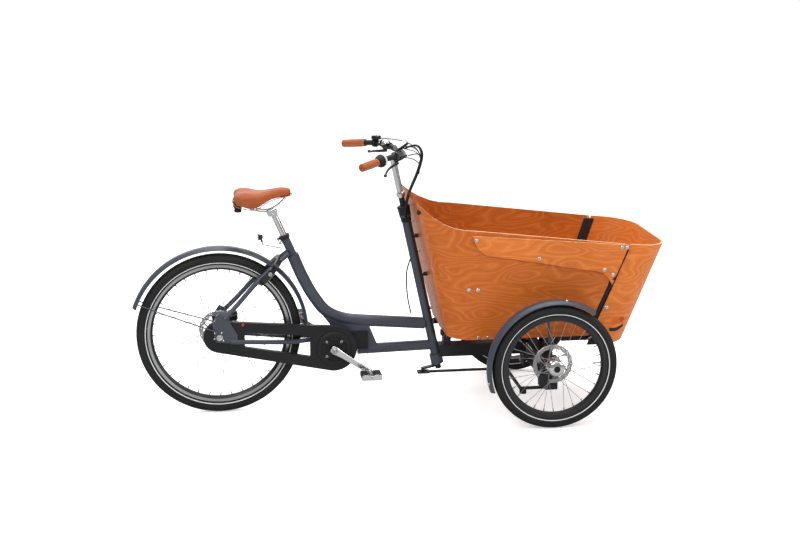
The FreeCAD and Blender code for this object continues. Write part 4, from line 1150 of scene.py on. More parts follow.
@dataclass
class Frame:
    """The painted frame, its column, and what is bolted on round them."""

    collar_height: float = 0.797
    bead: float = 0.0022
    dropout_face: float = 0.0735
    guard_radius: float = 0.3612
    lock_centre: Point = (-0.5071, 0, 0.576)
    lock_tilt: float = -49
    shackle_radius: float = 0.063
    lamp_place: Point = (-0.5475, 0, 0.721)

    def weld(self, build: Build, centre: Vector, direction: Vector, radius: float) -> None:
        """A rippled weld bead round a tube."""
        ring = [(radius + self.bead * math.cos(a), self.bead * math.sin(a))
                for a in (math.radians(d) for d in range(0, 360, 60))]
        lathe(build, [*ring, ring[0]], axis_matrix(centre, direction), 72, None,
              lambda step, number: 0.0005 * math.cos(step * math.pi * 2 / 6))

    def tubes(self) -> None:
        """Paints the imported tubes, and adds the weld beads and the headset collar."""
        for node in ("main_frame", "steering_column", "rear_stays", "rear_mudguard"):
            dress(node, PAINT)
        for node in ("chassis", "lean_bracket"):
            dress(node, BLACK_STEEL, 0.0015)
        dress("frame_cable", SOFT_RUBBER)
        up = axis("handlebar_steer")
        build = bmesh.new()
        for height in (0.212, 0.352):
            self.weld(build, column_spot(height), up, 0.0195)
        self.weld(build, Vector((-0.4565, 0, 0.7)), Vector((-0.3987, 0, 0.9171)), 0.0178)
        piece("weld_beads", build, PAINT, "frame", angle=60)
        build = bmesh.new()
        cone = [(0.0165, 0.0), (0.0215, 0.0), (0.0215, 0.006), (0.0238, 0.012), (0.0252, 0.04),
                (0.0262, 0.044), (0.0262, 0.049), (0.024, 0.052), (0.0165, 0.054), (0.0165, 0.0)]
        lathe(build, cone, axis_matrix(column_spot(self.collar_height - 0.014), up), 56)
        low = [(0.0192, 0.0), (0.0215, 0.002), (0.0215, 0.012), (0.0192, 0.014), (0.0192, 0.0)]
        lathe(build, low, axis_matrix(column_spot(0.768), up), 56)
        piece("headset_collar", build, MATT_PLASTIC, "frame")

    def seat_clamp(self) -> None:
        """The split collar that holds the seat post, with its bolt."""
        up = axis("saddle_height")
        build = bmesh.new()
        collar = [(0.0142, -0.016), (0.0208, -0.016), (0.0216, -0.014), (0.0216, -0.003), (0.0206, 0.0),
                  (0.016, 0.001), (0.0142, 0.001), (0.0142, -0.016)]
        lathe(build, collar, axis_matrix(SEAT_COLLAR, up), 56)
        ear = SEAT_COLLAR - up * 0.008 + Vector((-0.0245, 0, -0.01))
        strut(build, ear - Vector((0, 0.01, 0)), ear + Vector((0, 0.01, 0)), 0.0052, 20)
        piece("seat_collar_clamp", build, BLACK_STEEL, "frame")
        build = bmesh.new()
        for side in (-1, 1):
            bolt(build, ear + Vector((0, side * 0.01, 0)), Vector((0, side, 0)), 0.0042, 0.003)
        piece("seat_collar_bolt", build, BRUSHED, "frame")

    def rear_end(self) -> None:
        """Axle with its nuts and washers, dropout bolts, and the brake caliper."""
        axle = pivot("rear_wheel_spin")
        build = bmesh.new()
        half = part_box("rear_axle")[1].y
        strut(build, axle - Vector((0, half, 0)), axle + Vector((0, half, 0)), 0.0058, 24)
        for side in (-1, 1):
            away = Vector((0, side, 0))
            washer(build, axle + away * self.dropout_face, away, 0.0062, 0.0125, 0.0018, 32)
            hex_nut(build, axle + away * (self.dropout_face + 0.0017), away, 0.0105, 0.0085)
            for x, z in ((0.008, 0.019), (-0.019, 0.02), (-0.021, -0.004), (0.014, -0.012)):
                bolt(build, axle + Vector((x, side * self.dropout_face, z)), away, 0.0042, 0.0032)
        piece("rear_axle_set", build, POLISHED, "frame", replaces="rear_axle")
        build = bmesh.new()
        mid = middle("rear_caliper")
        for side in (-1, 1):
            outline = [(-0.021, -0.012), (-0.016, -0.019), (0.016, -0.019), (0.021, -0.01), (0.021, 0.012),
                       (0.012, 0.019), (-0.014, 0.019), (-0.021, 0.01)]
            place = sideways(mid + Vector((0, side * 0.0095, 0)))
            prism(build, outline, 0.013, place)
            lathe(build, [(0.0001, 0.0), (0.009, 0.0), (0.0105, -0.002), (0.0105, -0.004)],
                  axis_matrix(mid + Vector((0, side * 0.018, 0)), Vector((0, side, 0))), 28)
        for x in (-0.015, 0.015):
            strut(build, mid + Vector((x, -0.016, 0.012)), mid + Vector((x, 0.016, 0.012)), 0.0035, 12)
        piece("rear_brake_caliper", build, BLACK_STEEL, "frame", bevel=0.0012, replaces="rear_caliper")

    def guard_fittings(self) -> None:
        """Mudguard screws over the rear wheel."""
        axle = pivot("rear_wheel_spin")
        build = bmesh.new()
        for degrees in (38, 118):
            out = outward(degrees)
            bolt(build, axle + out * self.guard_radius, out, 0.0048, 0.003)
        piece("rear_guard_screws", build, POLISHED, "frame")

    def lock(self) -> None:
        """The ring lock's body with its key cylinder and the polished shackle end."""
        dress("ring_lock", SHINY_PLASTIC, 0.003)
        centre = Vector(self.lock_centre)
        tilt = math.radians(self.lock_tilt)
        facing = Vector((math.sin(tilt), 0, math.cos(tilt)))
        across = Vector((facing.z, 0, -facing.x))
        build = bmesh.new()
        for side in (-1, 1):
            for degrees in range(-56, 10, 6):
                turns = math.radians(degrees), math.radians(degrees + 6)
                spots = [centre - facing * 0.0008 + (across * math.sin(angle) + Vector((0, side, 0))
                         * math.cos(angle)) * self.shackle_radius for angle in turns]
                strut(build, *spots, 0.0034, 10)
        piece("lock_shackle", build, POLISHED, "frame", angle=60)
        build = bmesh.new()
        seat = centre + Vector((0, -0.0735, 0)) + facing * 0.011
        capped_lathe(build, [(0.0, -0.004), (0.0085, -0.004), (0.0085, 0.002), (0.0075, 0.003),
                             (0.003, 0.003),
                             (0.0028, 0.0012), (0.0, 0.0012)], axis_matrix(seat, RIGHTWARD), 32)
        piece("lock_cylinder", build, BRUSHED, "frame")

    def lamp(self) -> None:
        """The lamp on its wire bracket: housing, chrome rim and a clear lens."""
        head = Vector(self.lamp_place)
        face = Vector((-1, 0, -0.1)).normalized()
        build = bmesh.new()
        shell = [(0.0, -0.01), (0.0055, -0.0095), (0.0085, -0.006), (0.011, 0.001), (0.0128, 0.008),
                 (0.0134, 0.01), (0.0134, 0.0108)]
        lathe(build, [(max(r, 0.0003), h) for r, h in shell], axis_matrix(head, face), 40)
        strut(build, head + Vector((0.002, 0, -0.008)), head + Vector((0.006, 0, -0.021)), 0.0042, 16)
        piece("lamp_housing", build, SHINY_PLASTIC, "frame")
        build = bmesh.new()
        lathe(build, [(0.0118, 0.0095), (0.0139, 0.0095), (0.0139, 0.012), (0.0118, 0.012),
                      (0.0118, 0.0095)], axis_matrix(head, face), 40)
        piece("lamp_rim", build, POLISHED, "frame", replaces="rear_lamp")
        build = bmesh.new()
        lathe(build, [(0.0118, 0.0104), (0.009, 0.0122), (0.005, 0.0133), (0.0003, 0.0136)],
              axis_matrix(head, face), 40)
        piece("lamp_lens", build, CLEAR_LENS, "frame")
        arm = [(-0.5405, 0, 0.701), (-0.5425, 0, 0.691), (-0.533, 0, 0.688), (-0.505, 0, 0.682),
               (-0.48, 0, 0.676), (-0.462, 0, 0.672)]
        piece("lamp_bracket", curve_mesh("bracket", arm, 0.0024), BRUSHED, "frame")

    def build(self) -> None:
        """Builds everything fixed to the frame."""
        self.tubes()
        self.seat_clamp()
        self.rear_end()
        self.guard_fittings()
        self.lock()
        self.lamp()


@dataclass
class Drive:
    """Motor, chain case, cranks and pedals."""

    case_face: float = -0.068
    cover_bolt_radius: float = 0.0425
    crank_half: float = 0.092

    def case(self) -> None:
        """The chain case with its round cover, cover bolts and reflector."""
        dress("chain_case", MATT_PLASTIC, 0.002)
        dress("chain", BRUSHED)
        dress("chainring", BLACK_STEEL)
        dress("rear_sprocket", BRUSHED)
        dress("motor", MATT_PLASTIC, 0.003)
        centre = pivot("crank_spin")
        build = bmesh.new()
        rows = [0.0175, 0.0235, 0.03, 0.0315, 0.033, 0.042, 0.051, 0.0525, 0.056, 0.062, 0.0665,
                0.069, 0.071]
        steps = 120
        rings = []
        for reach in rows:
            rings.append([])
            for step in range(steps):
                angle = 2 * math.pi * step / steps
                near = abs((math.degrees(angle) + 45) % 90 - 45)
                lift = 0.006 if reach < 0.067 else (0.0042 if reach < 0.07 else 0.0)
                if 0.031 < reach < 0.052 and near < 28:
                    lift = 0.0012
                if reach < 0.02:
                    lift = 0.004
                spot = Vector((reach * math.cos(angle), self.case_face - lift, reach * math.sin(angle)))
                rings[-1].append(build.verts.new(Vector((centre.x, 0, centre.z)) + spot))
        loft(build, rings, capped=False)
        piece("case_cover", build, MATT_PLASTIC, "frame", angle=26)
        build = bmesh.new()
        for degrees in (45, 135, 225, 315):
            seat = centre + outward(degrees) * self.cover_bolt_radius
            seat.y = self.case_face - 0.0058
            lathe(build, [(0.0026, 0.0), (0.005, 0.0), (0.005, 0.0014), (0.0044, 0.002), (0.0026, 0.0014)],
                  axis_matrix(seat, RIGHTWARD), 24)
        piece("cover_bolts", build, POLISHED, "frame")
        build = bmesh.new()
        seat = Vector((-0.6281, self.case_face - 0.0002, 0.379))
        lathe(build, [(0.0063, 0.0), (0.0063, 0.002), (0.005, 0.0032), (0.0003, 0.0038)],
              axis_matrix(seat, RIGHTWARD), 32)
        piece("case_reflector", build, RED_LENS, "frame")

    def crank(self) -> None:
        """Both forged cranks with their spindle, dust caps and pedal pins."""
        centre = pivot("crank_spin")
        build = bmesh.new()
        strut(build, centre - Vector((0, 0.0905, 0)), centre + Vector((0, 0.0905, 0)), 0.0118, 32)
        for word, side in (("right", -1), ("left", 1)):
            tip = pivot(f"pedal_{word}_spin")
            run = Vector((tip.x - centre.x, 0, tip.z - centre.z))
            length = run.length
            along = run.normalized()
            across = along.cross(LEFTWARD)
            rows = []
            stations = ((-0.1, 0.4, 0.0065), (-0.085, 0.85, 0.0075), (0.0, 1.16, 0.008),
                        (0.1, 1.02, 0.0072),
                        (0.25, 0.84, 0.006), (0.6, 0.76, 0.0056), (0.88, 0.8, 0.0058), (1.0, 0.88, 0.0062),
                        (1.055, 0.72, 0.006), (1.078, 0.38, 0.0055))
            for share, width, thick in stations:
                middle = Vector((centre.x, side * (self.crank_half - 0.001),
                                 centre.z)) + along * (length * share)
                half = 0.0148 * width
                section = []
                for a, b in ((1, 0.55), (0.72, 1), (-0.72, 1), (-1, 0.55), (-1, -0.55), (-0.72, -1),
                             (0.72, -1), (1, -0.55)):
                    section.append(build.verts.new(middle + across * (half * a) + Vector((0, thick * b,
                                                                                          0))))
                rows.append(section)
            loft(build, rows)
            away = Vector((0, side, 0))
            pin = Vector((tip.x, 0, tip.z))
            strut(build, pin + away * 0.098, pin + away * 0.104, 0.0085, 6)
            strut(build, pin + away * 0.1, pin + away * 0.179, 0.0046, 16)
        piece("forged_cranks", build, POLISHED, "cranks", angle=40, bevel=0.0014, replaces="cranks")
        build = bmesh.new()
        for away in (RIGHTWARD, LEFTWARD):
            seat = centre + away * 0.0985
            lathe(build, [(0.005, 0.0), (0.0128, 0.0), (0.0128, 0.0022), (0.0118, 0.0032), (0.005, 0.0032)],
                  axis_matrix(seat, away), 40)
            bolt(build, seat + away * 0.0015, away, 0.0082, 0.0045)
        piece("crank_bolts", build, BRUSHED, "cranks")

    def pedal(self, word: str, side: int) -> None:
        """A platform pedal: alloy side plates, rubber treads and reflector blocks.

        Args:
            word: The pedal's side, as node names spell it.
            side: The sign of Y on that side.
        """
        tip = pivot(f"pedal_{word}_spin")
        middle = tip + Vector((0, side * 0.004, 0))
        build = bmesh.new()
        strut(build, middle - Vector((0, 0.036, 0)), middle + Vector((0, 0.036, 0)), 0.0082, 20)
        for end in (-1, 1):
            place = sideways(middle + Vector((0, end * 0.0345, 0)))
            plate = [(-0.041, -0.006), (-0.034, -0.0115), (0.034, -0.0115), (0.041, -0.006), (0.041, 0.006),
                     (0.034, 0.0115), (0.012, 0.0115), (0.008, 0.008), (-0.008, 0.008), (-0.012, 0.0115),
                     (-0.034, 0.0115), (-0.041, 0.006)]
            prism(build, plate, 0.0026, place)
        piece(f"pedal_{word}_cage", build, POLISHED, f"pedal_{word}", bevel=0.0006, segments=2,
              replaces=f"pedal_{word}")
        build = bmesh.new()
        for end in (-1, 1):
            rows = 9
            for row in range(rows):
                y = middle.y + (row - (rows - 1) / 2) * 0.0072
                place = sideways(Vector((middle.x + end * 0.0265, y, middle.z)))
                tread = [(-0.0135, -0.0105), (-0.0115, -0.0118), (0.0115, -0.0118), (0.0135, -0.01),
                         (0.015, 0.0), (0.0135, 0.01), (0.0115, 0.0118), (-0.0115, 0.0118), (-0.0135,
                                                                                                0.0105)]
                prism(build, tread, 0.005, place)
            place = sideways(Vector((middle.x + end * 0.0265, middle.y, middle.z)))
            prism(build, [(-0.012, -0.0095), (0.0125, -0.0095), (0.0125, 0.0095), (-0.012, 0.0095)],
                  0.066, place)
        piece(f"pedal_{word}_treads", build, SOFT_RUBBER, f"pedal_{word}", bevel=0.0006, segments=2)

    def build(self) -> None:
        """Builds the drive and both pedals."""
        self.case()
        self.crank()
        self.pedal("left", 1)
        self.pedal("right", -1)


# Box


@dataclass
class Box:
    """The plywood box with its bolts, edge trims, grommets and straps."""

    head_radius: float = 0.0062
    head_height: float = 0.0032
    head_washer: float = 0.0009
    grip_depth: float = 0.0125
    seam_foot: tuple[float, float] = (0.7405, 0.333)
    seam_head: tuple[float, float] = (0.89, 0.7138)
    seam_low: float = 0.345
    seam_high: float = 0.7
    strip_foot: float = 0.585
    seam_steps: int = 30
    strap_steps: int = 12
    grommet_x: float = 0.057
    grommet_z: float = 0.852

    def panels(self) -> None:
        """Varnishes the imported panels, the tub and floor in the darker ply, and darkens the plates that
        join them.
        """
        # The darker ply here is partly the tub's own tone and partly painted shade under the side strips.
        for node in ("tub_shell", "box_floor"):
            dress(node, PLY, 0.0012)
        dress("front_panel", PLY_STRIP, 0.0012)
        dress("side_strips", PLY_STRIP, 0.001)
        dress("joint_plates", BLACK_STEEL, 0.0008)
        dress("battery", MATT_PLASTIC, 0.006)

    def bolts(self) -> None:
        """A domed head with a socket on every fixing, and a washer and nut within."""
        heads, inside, lugs = bmesh.new(), bmesh.new(), bmesh.new()
        for low, high in islands("box_fixings"):
            mid = (low + high) / 2
            if abs(mid.y) < 0.05:
                strut(lugs, Vector((low.x + 0.004, mid.y, mid.z)), Vector((high.x, mid.y, mid.z)), 0.0085,
                      24)
                washer(lugs, Vector((high.x - 0.005, mid.y, mid.z)), AHEAD, 0.0088, 0.0125, 0.003)
                continue
            side = 1 if mid.y > 0 else -1
            away = Vector((0, side, 0))
            outer = Vector((mid.x, side * (max(abs(low.y), abs(high.y)) - self.head_height), mid.z))
            washer(heads, outer, away, 0.0035, 0.0078, self.head_washer)
            bolt(heads, outer + away * self.head_washer, away, self.head_radius,
                 self.head_height - self.head_washer)
            inner = outer - away * self.grip_depth
            washer(inside, inner, -away, 0.003, 0.0085, 0.001)
            hex_nut(inside, inner, -away, 0.0058, 0.0048)
        piece("box_bolt_heads", heads, POLISHED, "frame", replaces="box_fixings")
        piece("box_bolt_nuts", inside, BRUSHED, "frame")
        piece("box_lugs", lugs, BLACK_STEEL, "frame")

    def wall(self, x: float, z: float, side: int) -> Vector:
        """The outer face of the side wall at a place along and up the box."""
        for nudge in (0.0, -0.008, 0.008, -0.02, 0.02):
            ray = Vector((x + nudge, side * 0.6, z))
            hits = []
            for node in ("tub_shell", "front_panel", "side_strips"):
                hit, spot, _, _ = frame["nodes"][node].ray_cast(ray, Vector((0, -side, 0)))
                if hit and side * spot.y > 0:
                    hits.append(Vector((x, spot.y, z)))
            if hits:
                return max(hits, key=lambda spot: side * spot.y)
        LOG.info("no wall at %.3f %.3f", x, z)
        return Vector((x, side * 0.285, z))

    def grommet(self) -> None:
        """Black cable grommets near the top of the rear corners."""
        build = bmesh.new()
        for side in (-1, 1):
            low = self.wall(self.grommet_x, self.grommet_z, side)
            ahead = self.wall(self.grommet_x + 0.006, self.grommet_z, side)
            up = self.wall(self.grommet_x, self.grommet_z - 0.012, side)
            away = (ahead - low).cross(up - low).normalized()
            if away.y * side < 0:
                away = -away
            lathe(build, [(0.0045, -0.001), (0.0135, -0.001), (0.0135, 0.0022), (0.012, 0.0034),
                          (0.0075, 0.0036), (0.006, 0.002), (0.0045, 0.0004)], axis_matrix(low, away), 36)
            capped_lathe(build, [(0.0, 0.0), (0.0062, 0.0), (0.0062, 0.0018), (0.0, 0.0018)],
                         axis_matrix(low, away), 24)
        piece("box_grommets", build, SOFT_RUBBER, "frame")

    def straps(self) -> None:
        """The curved strap that crosses below the slot of the front panel on both sides."""
        build = bmesh.new()
        for side in (-1, 1):
            rows = []
            for index in range(self.strap_steps + 1):
                share = index / self.strap_steps
                x = 0.827 + 0.065 * share
                z = 0.357 + 0.01 * share - 0.0085 * math.sin(math.pi * share)
                seat = self.wall(x, z, side)
                proud = 0.0012 + 0.0022 * math.sin(math.pi * share)
                row = []
                for rise, out in ((-0.0075, 0.0), (-0.0065, proud), (0.0065, proud), (0.0075, 0.0)):
                    row.append(build.verts.new(Vector((x, seat.y + side * out, z + rise))))
                rows.append(row)
            loft(build, rows, closed=False, capped=False)
            build.faces.new(rows[0])
            build.faces.new(rows[-1][::-1])
        piece("slot_straps", build, MATT_PLASTIC, "frame", bevel=0.0004, segments=2)

    def seam(self) -> None:
        """The joint of tub and front panel as a thin black sheet: a fine joint line above the strip, and
        below it a wider band of painted shade where the gap between tub and front panel is dark and
        recessed.
        """
        build = bmesh.new()
        (foot_x, foot_z), (head_x, head_z) = self.seam_foot, self.seam_head
        for side in (-1, 1):
            rows = []
            for index in range(self.seam_steps + 1):
                share = index / self.seam_steps
                z = self.seam_low + (self.seam_high - self.seam_low) * share
                x = foot_x + (head_x - foot_x) * (z - foot_z) / (head_z - foot_z)
                # Below the strip the sheet reaches further back over the tub wall. This is painted shade
                # for the gap behind the front panel's edge.
                gap_shade_share = min(1.0, max(0.0, (self.strip_foot - z) / 0.02))
                behind, front = -0.0016 - 0.013 * gap_shade_share, 0.0016
                seats = [self.wall(x + run, z, side) for run in (behind, front)]
                rows.append([build.verts.new(Vector((x + run, side * (abs(seat.y) + 0.0006), z)))
                             for run, seat in zip((behind, front), seats)])
            loft(build, rows, closed=False, capped=False)
        # The black sheet is the real joint line above the strip and painted shade below it.
        made = piece("seam_strips", build, MATT_PLASTIC, "frame")
        thicken(made, 0.0008)

    def corner_guards(self) -> None:
        """Black angle plates over the lower rear corners of the front panel."""
        build = bmesh.new()
        for side in (-1, 1):
            rows = []
            for index in range(8):
                x = 0.742 + 0.012 * index
                rows.append([build.verts.new(Vector((x, side * (abs(self.wall(x, z, side).y) + 0.0012), z)))
                             for z in (0.2955, 0.305, 0.315, 0.325, 0.3325)])
            loft(build, rows, closed=False, capped=False)
        made = piece("corner_guards", build, BLACK_STEEL, "frame")
        thicken(made, 0.0016)

    def underside(self) -> None:
        """Feet with their bolts, and a short rail under the front of the box."""
        build = bmesh.new()
        for side in (-1, 1):
            for x in (0.28, 0.52, 0.74):
                place = Matrix.Translation(Vector((x, side * 0.205, 0.3265)))
                prism(build, oblong(0.02, 0.012), 0.013, place)
                bolt(build, Vector((x, side * 0.205, 0.32)), Vector((0, 0, -1)), 0.006, 0.004)
            rail = Matrix.Translation(Vector((0.722, side * 0.216, 0.3185)))
            prism(build, oblong(0.084, 0.008), 0.024, rail)
        piece("box_feet", build, BLACK_STEEL, "frame", bevel=0.0012, segments=2)

    def build(self) -> None:
        """Builds the whole box."""
        self.panels()
        self.bolts()
        self.grommet()
        self.straps()
        self.seam()
        self.corner_guards()
        self.underside()


# Saddle


def puffed(made: bpy.types.Object, voxel: float, pressure: float, cap: float) -> None:
    """Swells a closed pad like cloth under pressure, then smooths it.

    Args:
        made: The pad, which is changed in place.
        voxel: The size of the remesh.
        pressure: The cloth's pressure.
        cap: The furthest that a point may move, in metres.
    """
    remesh = made.modifiers.new("remesh", "REMESH")
    remesh.mode = "VOXEL"
    remesh.voxel_size = voxel
    bake(made)
    before = [vertex.co.copy() for vertex in made.data.vertices]
    cloth = made.modifiers.new("cloth", "CLOTH")
    cloth.settings.use_pressure = True
    cloth.settings.uniform_pressure_force = pressure
    cloth.settings.effector_weights.gravity = 0
    cloth.settings.tension_stiffness = 25
    cloth.settings.bending_stiffness = 4
    scene = bpy.context.scene
    for number in range(1, 21):
        scene.frame_set(number)
    bake(made)
    scene.frame_set(1)
    for vertex, start in zip(made.data.vertices, before):
        move = vertex.co - start
        if move.length > cap:
            vertex.co = start + move.normalized() * cap
    divide = made.modifiers.new("divide", "SUBSURF")
    divide.levels = divide.render_levels = 1
    bake(made)
    smooth(made.data, 70)


def bake(made: bpy.types.Object) -> None:
    """Applies a piece's modifiers to its mesh."""
    bpy.context.view_layer.update()
    graph = bpy.context.evaluated_depsgraph_get()
    mesh = bpy.data.meshes.new_from_object(made.evaluated_get(graph))
    old = made.data
    made.modifiers.clear()
    made.data = mesh
    bpy.data.meshes.remove(old)


@dataclass
class Saddle:
    """The wide leather saddle on its rails, with the post and clamp."""

    stations: tuple[tuple[float, ...], ...] = (
        (-0.654, 0.058, 0.886, 0.014, 0.004, 0.022), (-0.645, 0.083, 0.886, 0.0225, 0.009, 0.028),
        (-0.625, 0.0955, 0.886, 0.0265, 0.012, 0.033), (-0.6, 0.0965, 0.886, 0.027, 0.012, 0.039),
        (-0.578, 0.088, 0.885, 0.024, 0.009, 0.042), (-0.556, 0.072, 0.885, 0.0205, 0.005, 0.039),
        (-0.538, 0.056, 0.887, 0.019, 0.002, 0.03), (-0.515, 0.043, 0.89, 0.019, 0.001, 0.021),
        (-0.485, 0.032, 0.896, 0.019, 0.0, 0.018), (-0.452, 0.0265, 0.901, 0.018, 0.0, 0.016),
        (-0.431, 0.0215, 0.901, 0.016, 0.0, 0.014), (-0.4215, 0.0125, 0.901, 0.01, 0.0, 0.009))

    def section(self, index: int, steps: int = 40) -> list[Vector]:
        """One cross-section of the padded top, as a closed ring of points."""
        x, half, level, rise, dip, skirt = self.stations[index]
        points = []
        for step in range(steps):
            angle = 2 * math.pi * step / steps
            across, up = math.cos(angle), math.sin(angle)
            y = half * math.copysign(abs(across) ** 0.85, across)
            if up >= 0:
                z = level + rise * up ** 0.8 - dip * math.exp(-(y / 0.03) ** 2)
            else:
                wall, under = min(1.0, -up / 0.35), max(0.0, min(1.0, (-up - 0.42) / 0.25))
                z = level - skirt * wall + (skirt - 0.009) * under
            points.append(Vector((x, y, z)))
        return points

    def pad(self) -> None:
        """The leather top: two lobes behind and a long nose, puffed."""
        build = bmesh.new()
        rings = [[build.verts.new(p) for p in self.section(i)] for i in range(len(self.stations))]
        loft(build, rings)
        made = piece("saddle_cover", build, SADDLE_HIDE, "saddle", angle=70)
        divide = made.modifiers.new("divide", "SUBSURF")
        divide.levels = divide.render_levels = 2
        bake(made)
        puffed(made, 0.0045, 3.0, 0.0035)
        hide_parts("saddle")

    def seams(self) -> None:
        """Piping round the lower edge and the base below it."""
        left = [(x, half * 0.965, level - skirt * 0.93) for x, half, level, _, _, skirt in self.stations]
        right = [(x, -y, z) for x, y, z in left]
        nose = [(self.stations[-1][0] + 0.0025, 0.0, self.stations[-1][2] - 0.008)]
        tail = [(self.stations[0][0] - 0.002, 0.0, self.stations[0][2] - 0.02)]
        loop = tail + left + nose + right[::-1] + tail
        piece("saddle_piping", curve_mesh("piping", loop, 0.0019, 4), SADDLE_HIDE, "saddle")
        build = bmesh.new()
        rings = []
        for x, half, level, _, _, _ in self.stations[:-1]:
            turns = [2 * math.pi * step / 24 for step in range(24)]
            rings.append([build.verts.new(Vector((x + 0.004, half * 0.8 * math.cos(angle),
                                                  level - 0.0125 + 0.0035 * math.sin(angle))))
                          for angle in turns])
        loft(build, rings)
        piece("saddle_base", build, MATT_PLASTIC, "saddle", angle=50)

    def carriage(self) -> None:
        """Chrome rails, rubber dampers, clamp and post."""
        for side in (-1, 1):
            rail = [(-0.625, side * 0.036, 0.857), (-0.571, side * 0.024, 0.834),
                    (-0.521, side * 0.022, 0.824),
                    (-0.481, side * 0.02, 0.842), (-0.449, side * 0.012, 0.874), (-0.444, side * 0.01,
                                                                                   0.884)]
            piece(f"saddle_rail_{'left' if side > 0 else 'right'}", curve_mesh("rail", rail, 0.0034, 5),
                  POLISHED, "saddle")
        build = bmesh.new()
        for side in (-1, 1):
            foot = Vector((-0.637, side * 0.05, 0.835))
            ribs = [(0.0001, -0.001), (0.0125, -0.001), (0.015, 0.002), (0.015, 0.008), (0.013, 0.0105),
                    (0.013, 0.0125), (0.0152, 0.015), (0.0152, 0.022), (0.013, 0.0245), (0.013, 0.0265),
                    (0.015, 0.029), (0.015, 0.038), (0.0001, 0.04)]
            lathe(build, ribs, axis_matrix(foot, UP), 40)
        strut(build, Vector((-0.634, -0.05, 0.846)), Vector((-0.634, 0.05, 0.846)), 0.0055, 16)
        piece("saddle_dampers", build, SOFT_RUBBER, "saddle", replaces="saddle_rails")
        build = bmesh.new()
        slide = axis("saddle_height")
        strut(build, SEAT_COLLAR - slide * 0.086, SEAT_COLLAR + slide * 0.084, 0.0134, 40)
        head = Vector((-0.4951, 0, 0.8135))
        strut(build, head - Vector((0, 0.0165, 0)), head + Vector((0, 0.0165, 0)), 0.0118, 28)
        for side in (-1, 1):
            place = sideways(head + Vector((-0.004, side * 0.0215, 0.004)))
            prism(build, [(-0.022, -0.004), (-0.016, -0.011), (0.012, -0.011), (0.02, -0.004), (0.02, 0.01),
                          (0.012, 0.0155), (-0.016, 0.0155), (-0.022, 0.01)], 0.0085, place)
            hex_nut(build, head + Vector((-0.003, side * 0.0257, 0.001)), Vector((0, side, 0)), 0.0068,
                    0.0055)
        piece("seat_post_and_clamp", build, POLISHED, "saddle", bevel=0.0009, segments=2,
              replaces="seat_post")

    def build(self) -> None:
        """Builds the saddle."""
        self.pad()
        self.seams()
        self.carriage()


# Handlebar


